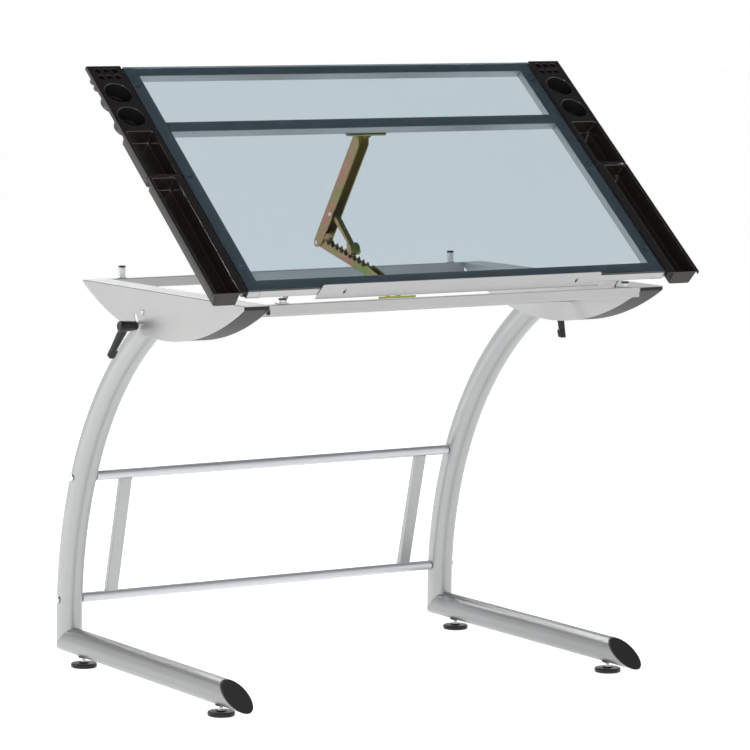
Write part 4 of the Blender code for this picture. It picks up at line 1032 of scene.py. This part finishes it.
def rear_tray(word, side):
    u0, u1 = FRAME_U + 0.3025, FRAME_U + 0.6060
    x0, x1 = 0.4588, 0.5190
    o = solid(rim(side, u0, u1), [GLOSS, GRAIN, SHADED_RECESS], BOARD)
    b0, b1 = FRAME_U + BOX_US[0] - TRAY_WALL, FRAME_U + BOX_US[1] + TRAY_WALL
    join(o, trough(side, b0, b1, x0, x1, TRAY_DEPTH, floor_r=0.0035))
    low = GLASS_TOP - TRAY_DEPTH
    top = GLASS_TOP
    for u in CUP_US:
        at = (side * CUP_X, FRAME_U + u, 0)
        barrel = ((low, CUP_R - 0.0030), (low + 0.0006, CUP_R - 0.0014), (low + 0.0020, CUP_R - 0.0004),
                  (top - 0.001, CUP_R + TRAY_WALL))
        join(o, turned("Z", at, barrel, 72))
    for u in PEN_US:
        for x in PEN_XS:
            tube = ((low, 0.0050), (low + 0.0010, 0.0064), (low + 0.0040, 0.0076), (top - 0.001, 0.0082))
            join(o, turned("Z", (side * x, FRAME_U + u, 0), tube, 32))
    cut(o, trough(side, b0, b1, x0, x1, TRAY_DEPTH - TRAY_WALL, TRAY_WALL, floor_r=0.0030))
    for u in CUP_US:
        at = (side * CUP_X, FRAME_U + u, 0)
        hollow = [(low + TRAY_WALL, CUP_R - 0.0058), (low + TRAY_WALL + 0.0008, CUP_R - 0.0040),
                  (low + TRAY_WALL + 0.0026, CUP_R - 0.0028)]
        hollow += [(top - FILLET + z, CUP_R + k) for z, k in fillet()]
        hollow.append((top + 0.004, CUP_R + FILLET))
        cut(o, turned("Z", at, hollow, 72))
    for u in PEN_US:
        for x in PEN_XS:
            at = (side * x, FRAME_U + u, 0)
            hole = ((top - 0.0180, PEN_R - 0.0002), (top - 0.0010, PEN_R), (top - 0.0003, PEN_R + 0.0004),
                    (top + 0.0001, PEN_R + 0.0011), (top + 0.004, PEN_R + 0.0011))
            cut(o, turned("Z", at, hole, 28))
    two_tone(o, side)
    grain_end(o, u1)
    shade_cup_recesses(o, side)
    keep(o, word + "_rear_tray_shell", word + "_rear_tray", "black_plastic", word + "_rear_tray")


# ---- ratchet support --------------------------------------------------------------------
def arm_place(at, towards):
    return at_axis(at[0], at[1], atan2(towards[1] - at[1], towards[0] - at[0]))


def upper_arm(top, place):
    length = hypot(ELBOW[0] - top[0], ELBOW[1] - top[1])
    w, t = 0.0115, 0.0020
    back, lip = 0.0090, -0.0165
    end = arc(0.0, 0.0, 0.0090, pi / 2, 3 * pi / 2, 20)
    far = arc(length, 0.0, 0.0090, -pi / 2, pi / 2, 20)
    flange = end[:11] + [(0.0120, lip), (length - 0.0100, lip)] + far[2:-1] + [(length - 0.0050, back)]
    o = solid(prism(flange, -w, w), ZINC, place)
    cut(o, box(-w + t, w - t, -0.03, length + 0.03, lip - 0.01, back - t))
    cut(o, rod("X", (0, 0, 0), 0.0033, -0.02, 0.02))
    cut(o, box(-w - 0.01, w + 0.01, -0.02, 0.010, back - t - 0.001, back + 0.01))
    cut(o, box(-w + t, w - t, length - 0.014, length + 0.02, back - t - 0.001, back + 0.01))
    keep(o, "support_upper_channel", "upper_arm", "yellow_zinc", "support_upper_arm")
    pins = []
    for s, n, h in ((length, 0.0, 0.0018), (length - PAWL_RIVET_BACK, PAWL_RIVET_DROP, 0.0015)):
        prof = ((-w - h, 0.0022), (-w - h * 0.7, 0.0036), (-w - 0.0001, 0.0042), (-w - 0.0001, 0.0026),
                (w + 0.0001, 0.0026), (w + 0.0001, 0.0042), (w + h * 0.7, 0.0036), (w + h, 0.0022))
        pins.append(turned("X", (0, s, n), prof, 28))
    keep(solid(merged(*pins), CAP, place), "support_upper_rivets", "upper_arm", "bright_steel")


def lower_arm(place):
    length = hypot(ELBOW[0] - FOOT_PIN[0], ELBOW[1] - FOOT_PIN[1])
    w, t = 0.0085, 0.0018
    low, root, tip = -0.0058, 0.0058, 0.0120
    outline = [(0.0, low), (length, low)] + arc(length, 0.0, 0.0058, -pi / 2, pi / 2, 16)[1:]
    last = TOOTH_START + TOOTH_PITCH * TOOTH_COUNT
    outline += [(last + 0.006, tip), (last + 0.001, tip)]
    for i in range(TOOTH_COUNT - 1, -1, -1):
        s = TOOTH_START + TOOTH_PITCH * i
        outline += [(s + TOOTH_PITCH - 0.0045, root + 0.0010), (s + 0.0050, root + 0.0010), (s, tip),
                    (s - 0.0015, tip)]
    outline += [(0.0120, tip), (0.0060, root)] + arc(0.0, 0.0, 0.0058, pi / 2, 3 * pi / 2, 16)[:-1]
    o = solid(prism([(y, -z) for y, z in outline], -w, w), ZINC, place)
    cut(o, box(-w + t, w - t, -0.03, length + 0.03, -tip - 0.01, -low - t))
    cut(o, rod("X", (0, 0, 0), 0.0032, -0.02, 0.02))
    join(o, rod("X", (0, length, 0), 0.0032, -w + 0.0002, w - 0.0002))
    keep(o, "support_toothed_channel", "lower_arm", "yellow_zinc", "support_lower_arm")


def pawl(place, length):
    w = 0.0060
    strip = arc(0.0, 0.0, 0.0050, pi / 2, 3 * pi / 2, 14) + [(length - 0.008, -0.0022),
                                                             (length - 0.006, 0.0022)]
    o = solid(prism(strip, -w, w), ZINC, place)
    cut(o, rod("X", (0, 0, 0), 0.0027, -0.02, 0.02))
    turn = radians(26)
    catch = []
    for y, z in ((-0.010, 0.006), (-0.012, 0.000), (-0.004, -0.0065), (0.010, -0.0065), (0.013, 0.000),
                 (0.009, 0.006)):
        catch.append((length + y * cos(turn) - z * sin(turn), y * sin(turn) + z * cos(turn)))
    join(o, prism(catch, -0.0105, 0.0105))
    keep(soften(o, 0.0004), "support_pawl_catch", "pawl", "yellow_zinc", "support_pawl")


# ---- the table --------------------------------------------------------------------------
def build():
    for word, side in (("left", -1), ("right", 1)):
        x = side * LEG_X
        leg(word, x)
        weld(word, x)
        foot_tube(word, x)
        foot_cap(word, x)
        leveller(word, "front", x, Y0 - LEVELLER_Y)
        leveller(word, "rear", x, Y0 + LEVELLER_Y)
        slat(word, side * SLAT_X)
        pivot_screw(word, side)
        clamp_lever(word, side)
        housing(word, side)
        rear_post(word, side * POST_X)
        hinge_bracket(word, side)
        end_plug(word, side)
        ledge_screw(word, side)
        for spot, u in zip(("front", "middle", "rear"), PAD_US):
            suction_pad(word, spot, side, u)
        front_tray(word, side)
        rear_tray(word, side)
    for word, z in RAIL_Z.items():
        rail(word, z)
    crossbar("front", FRONT_BAR_Y, HEAD_TOP - BAR_H / 2)
    crossbar("rear", REAR_BAR_Y, HEAD_TOP - BAR_H / 2)
    crossbar("middle", MID_BAR_Y, MID_BAR_Z)
    base_bracket()
    frame_members()
    glass_panel()
    ledge()
    top_bracket()
    top = BOARD @ Vector((0, TOP_PIN_U, TOP_PIN_H))
    top = (top.y, top.z)
    upper = arm_place(top, ELBOW)
    upper_arm(top, upper)
    lower_arm(arm_place(ELBOW, FOOT_PIN))
    length = hypot(ELBOW[0] - top[0], ELBOW[1] - top[1])
    rivet = upper @ Vector((0, length - PAWL_RIVET_BACK, PAWL_RIVET_DROP))
    pawl(arm_place((rivet.y, rivet.z), CATCH), hypot(CATCH[0] - rivet.y, CATCH[1] - rivet.z))


build()


# ---- stage, light and camera ------------------------------------------------------------
def stage():
    bm = bmesh.new()
    bmesh.ops.create_grid(bm, x_segments=1, y_segments=1, size=30.0)
    me = bpy.data.meshes.new("studio_floor")
    bm.to_mesh(me)
    bm.free()
    m, t, p = start("pale_floor")
    feed(t, p, {"Base Color": blend(t, noise(t, 1.5, 3.0), (0.93, 0.93, 0.93), (0.95, 0.95, 0.95)),
                "Roughness": spread(t, noise(t, 20, 2.0), 0.75, 0.85),
                "Emission Color": (1, 1, 1, 1), "Emission Strength": 0.68})
    me.materials.append(m)
    o = bpy.data.objects.new("studio_floor", me)
    o.location.z = -0.0002
    bpy.context.scene.collection.objects.link(o)


def world():
    w = bpy.data.worlds.new("studio")
    bpy.context.scene.world = w
    w.use_nodes = True
    t = w.node_tree
    t.nodes.clear()
    coord = node(t, "ShaderNodeTexCoord")
    split = node(t, "ShaderNodeSeparateXYZ", {0: coord.outputs["Generated"]})
    ramp = node(t, "ShaderNodeValToRGB", {"Fac": split.outputs[2]})
    e = ramp.color_ramp.elements
    e[0].position, e[0].color = 0.28, (1.0, 1.0, 1.0, 1)
    e[1].position, e[1].color = 0.70, (0.060, 0.063, 0.074, 1)
    back = node(t, "ShaderNodeBackground", {"Color": ramp.outputs["Color"], "Strength": 1.0})
    node(t, "ShaderNodeOutputWorld", {"Surface": back.outputs[0]})


def lamp(name, at, size, power, aim=(0.0, 0.0, 0.6)):
    data = bpy.data.lights.new(name, "AREA")
    data.shape = "RECTANGLE"
    data.size, data.size_y = size
    data.energy = power
    o = bpy.data.objects.new(name, data)
    o.location = at
    o.rotation_euler = (Vector(aim) - Vector(at)).to_track_quat("-Z", "Y").to_euler()
    bpy.context.scene.collection.objects.link(o)


def camera():
    data = bpy.data.cameras.new("camera")
    data.sensor_width = 36.0
    data.lens = 182.381
    data.shift_x = 0.00533
    data.shift_y = 0.00027
    yaw, pitch, roll = radians(31.62), radians(6.361), radians(0.37)
    ahead = Vector((sin(yaw) * cos(pitch), cos(yaw) * cos(pitch), -sin(pitch)))
    right = Vector((cos(yaw), -sin(yaw), 0))
    up = right.cross(ahead)
    r = right * cos(roll) + up * sin(roll)
    u = up * cos(roll) - right * sin(roll)
    turn = Matrix((r, u, -ahead)).transposed()
    o = bpy.data.objects.new("camera", data)
    o.matrix_world = Matrix.Translation((-3.7373, -6.1569 + Y0, 1.3723)) @ turn.to_4x4()
    data.clip_end = 100.0
    bpy.context.scene.collection.objects.link(o)
    bpy.context.scene.camera = o


bpy.context.scene.view_settings.view_transform = "Standard"
stage()
world()
lamp("key", (-3.4, 1.6, 2.2), (0.5, 0.7), 70.0)
lamp("glint", (-2.6, -3.6, 2.9), (0.6, 1.4), 45.0)
lamp("fill", (3.6, -2.4, 2.2), (2.4, 2.4), 18.0)
lamp("back", (0.5, 3.6, 3.2), (2.4, 1.2), 55.0)
camera()
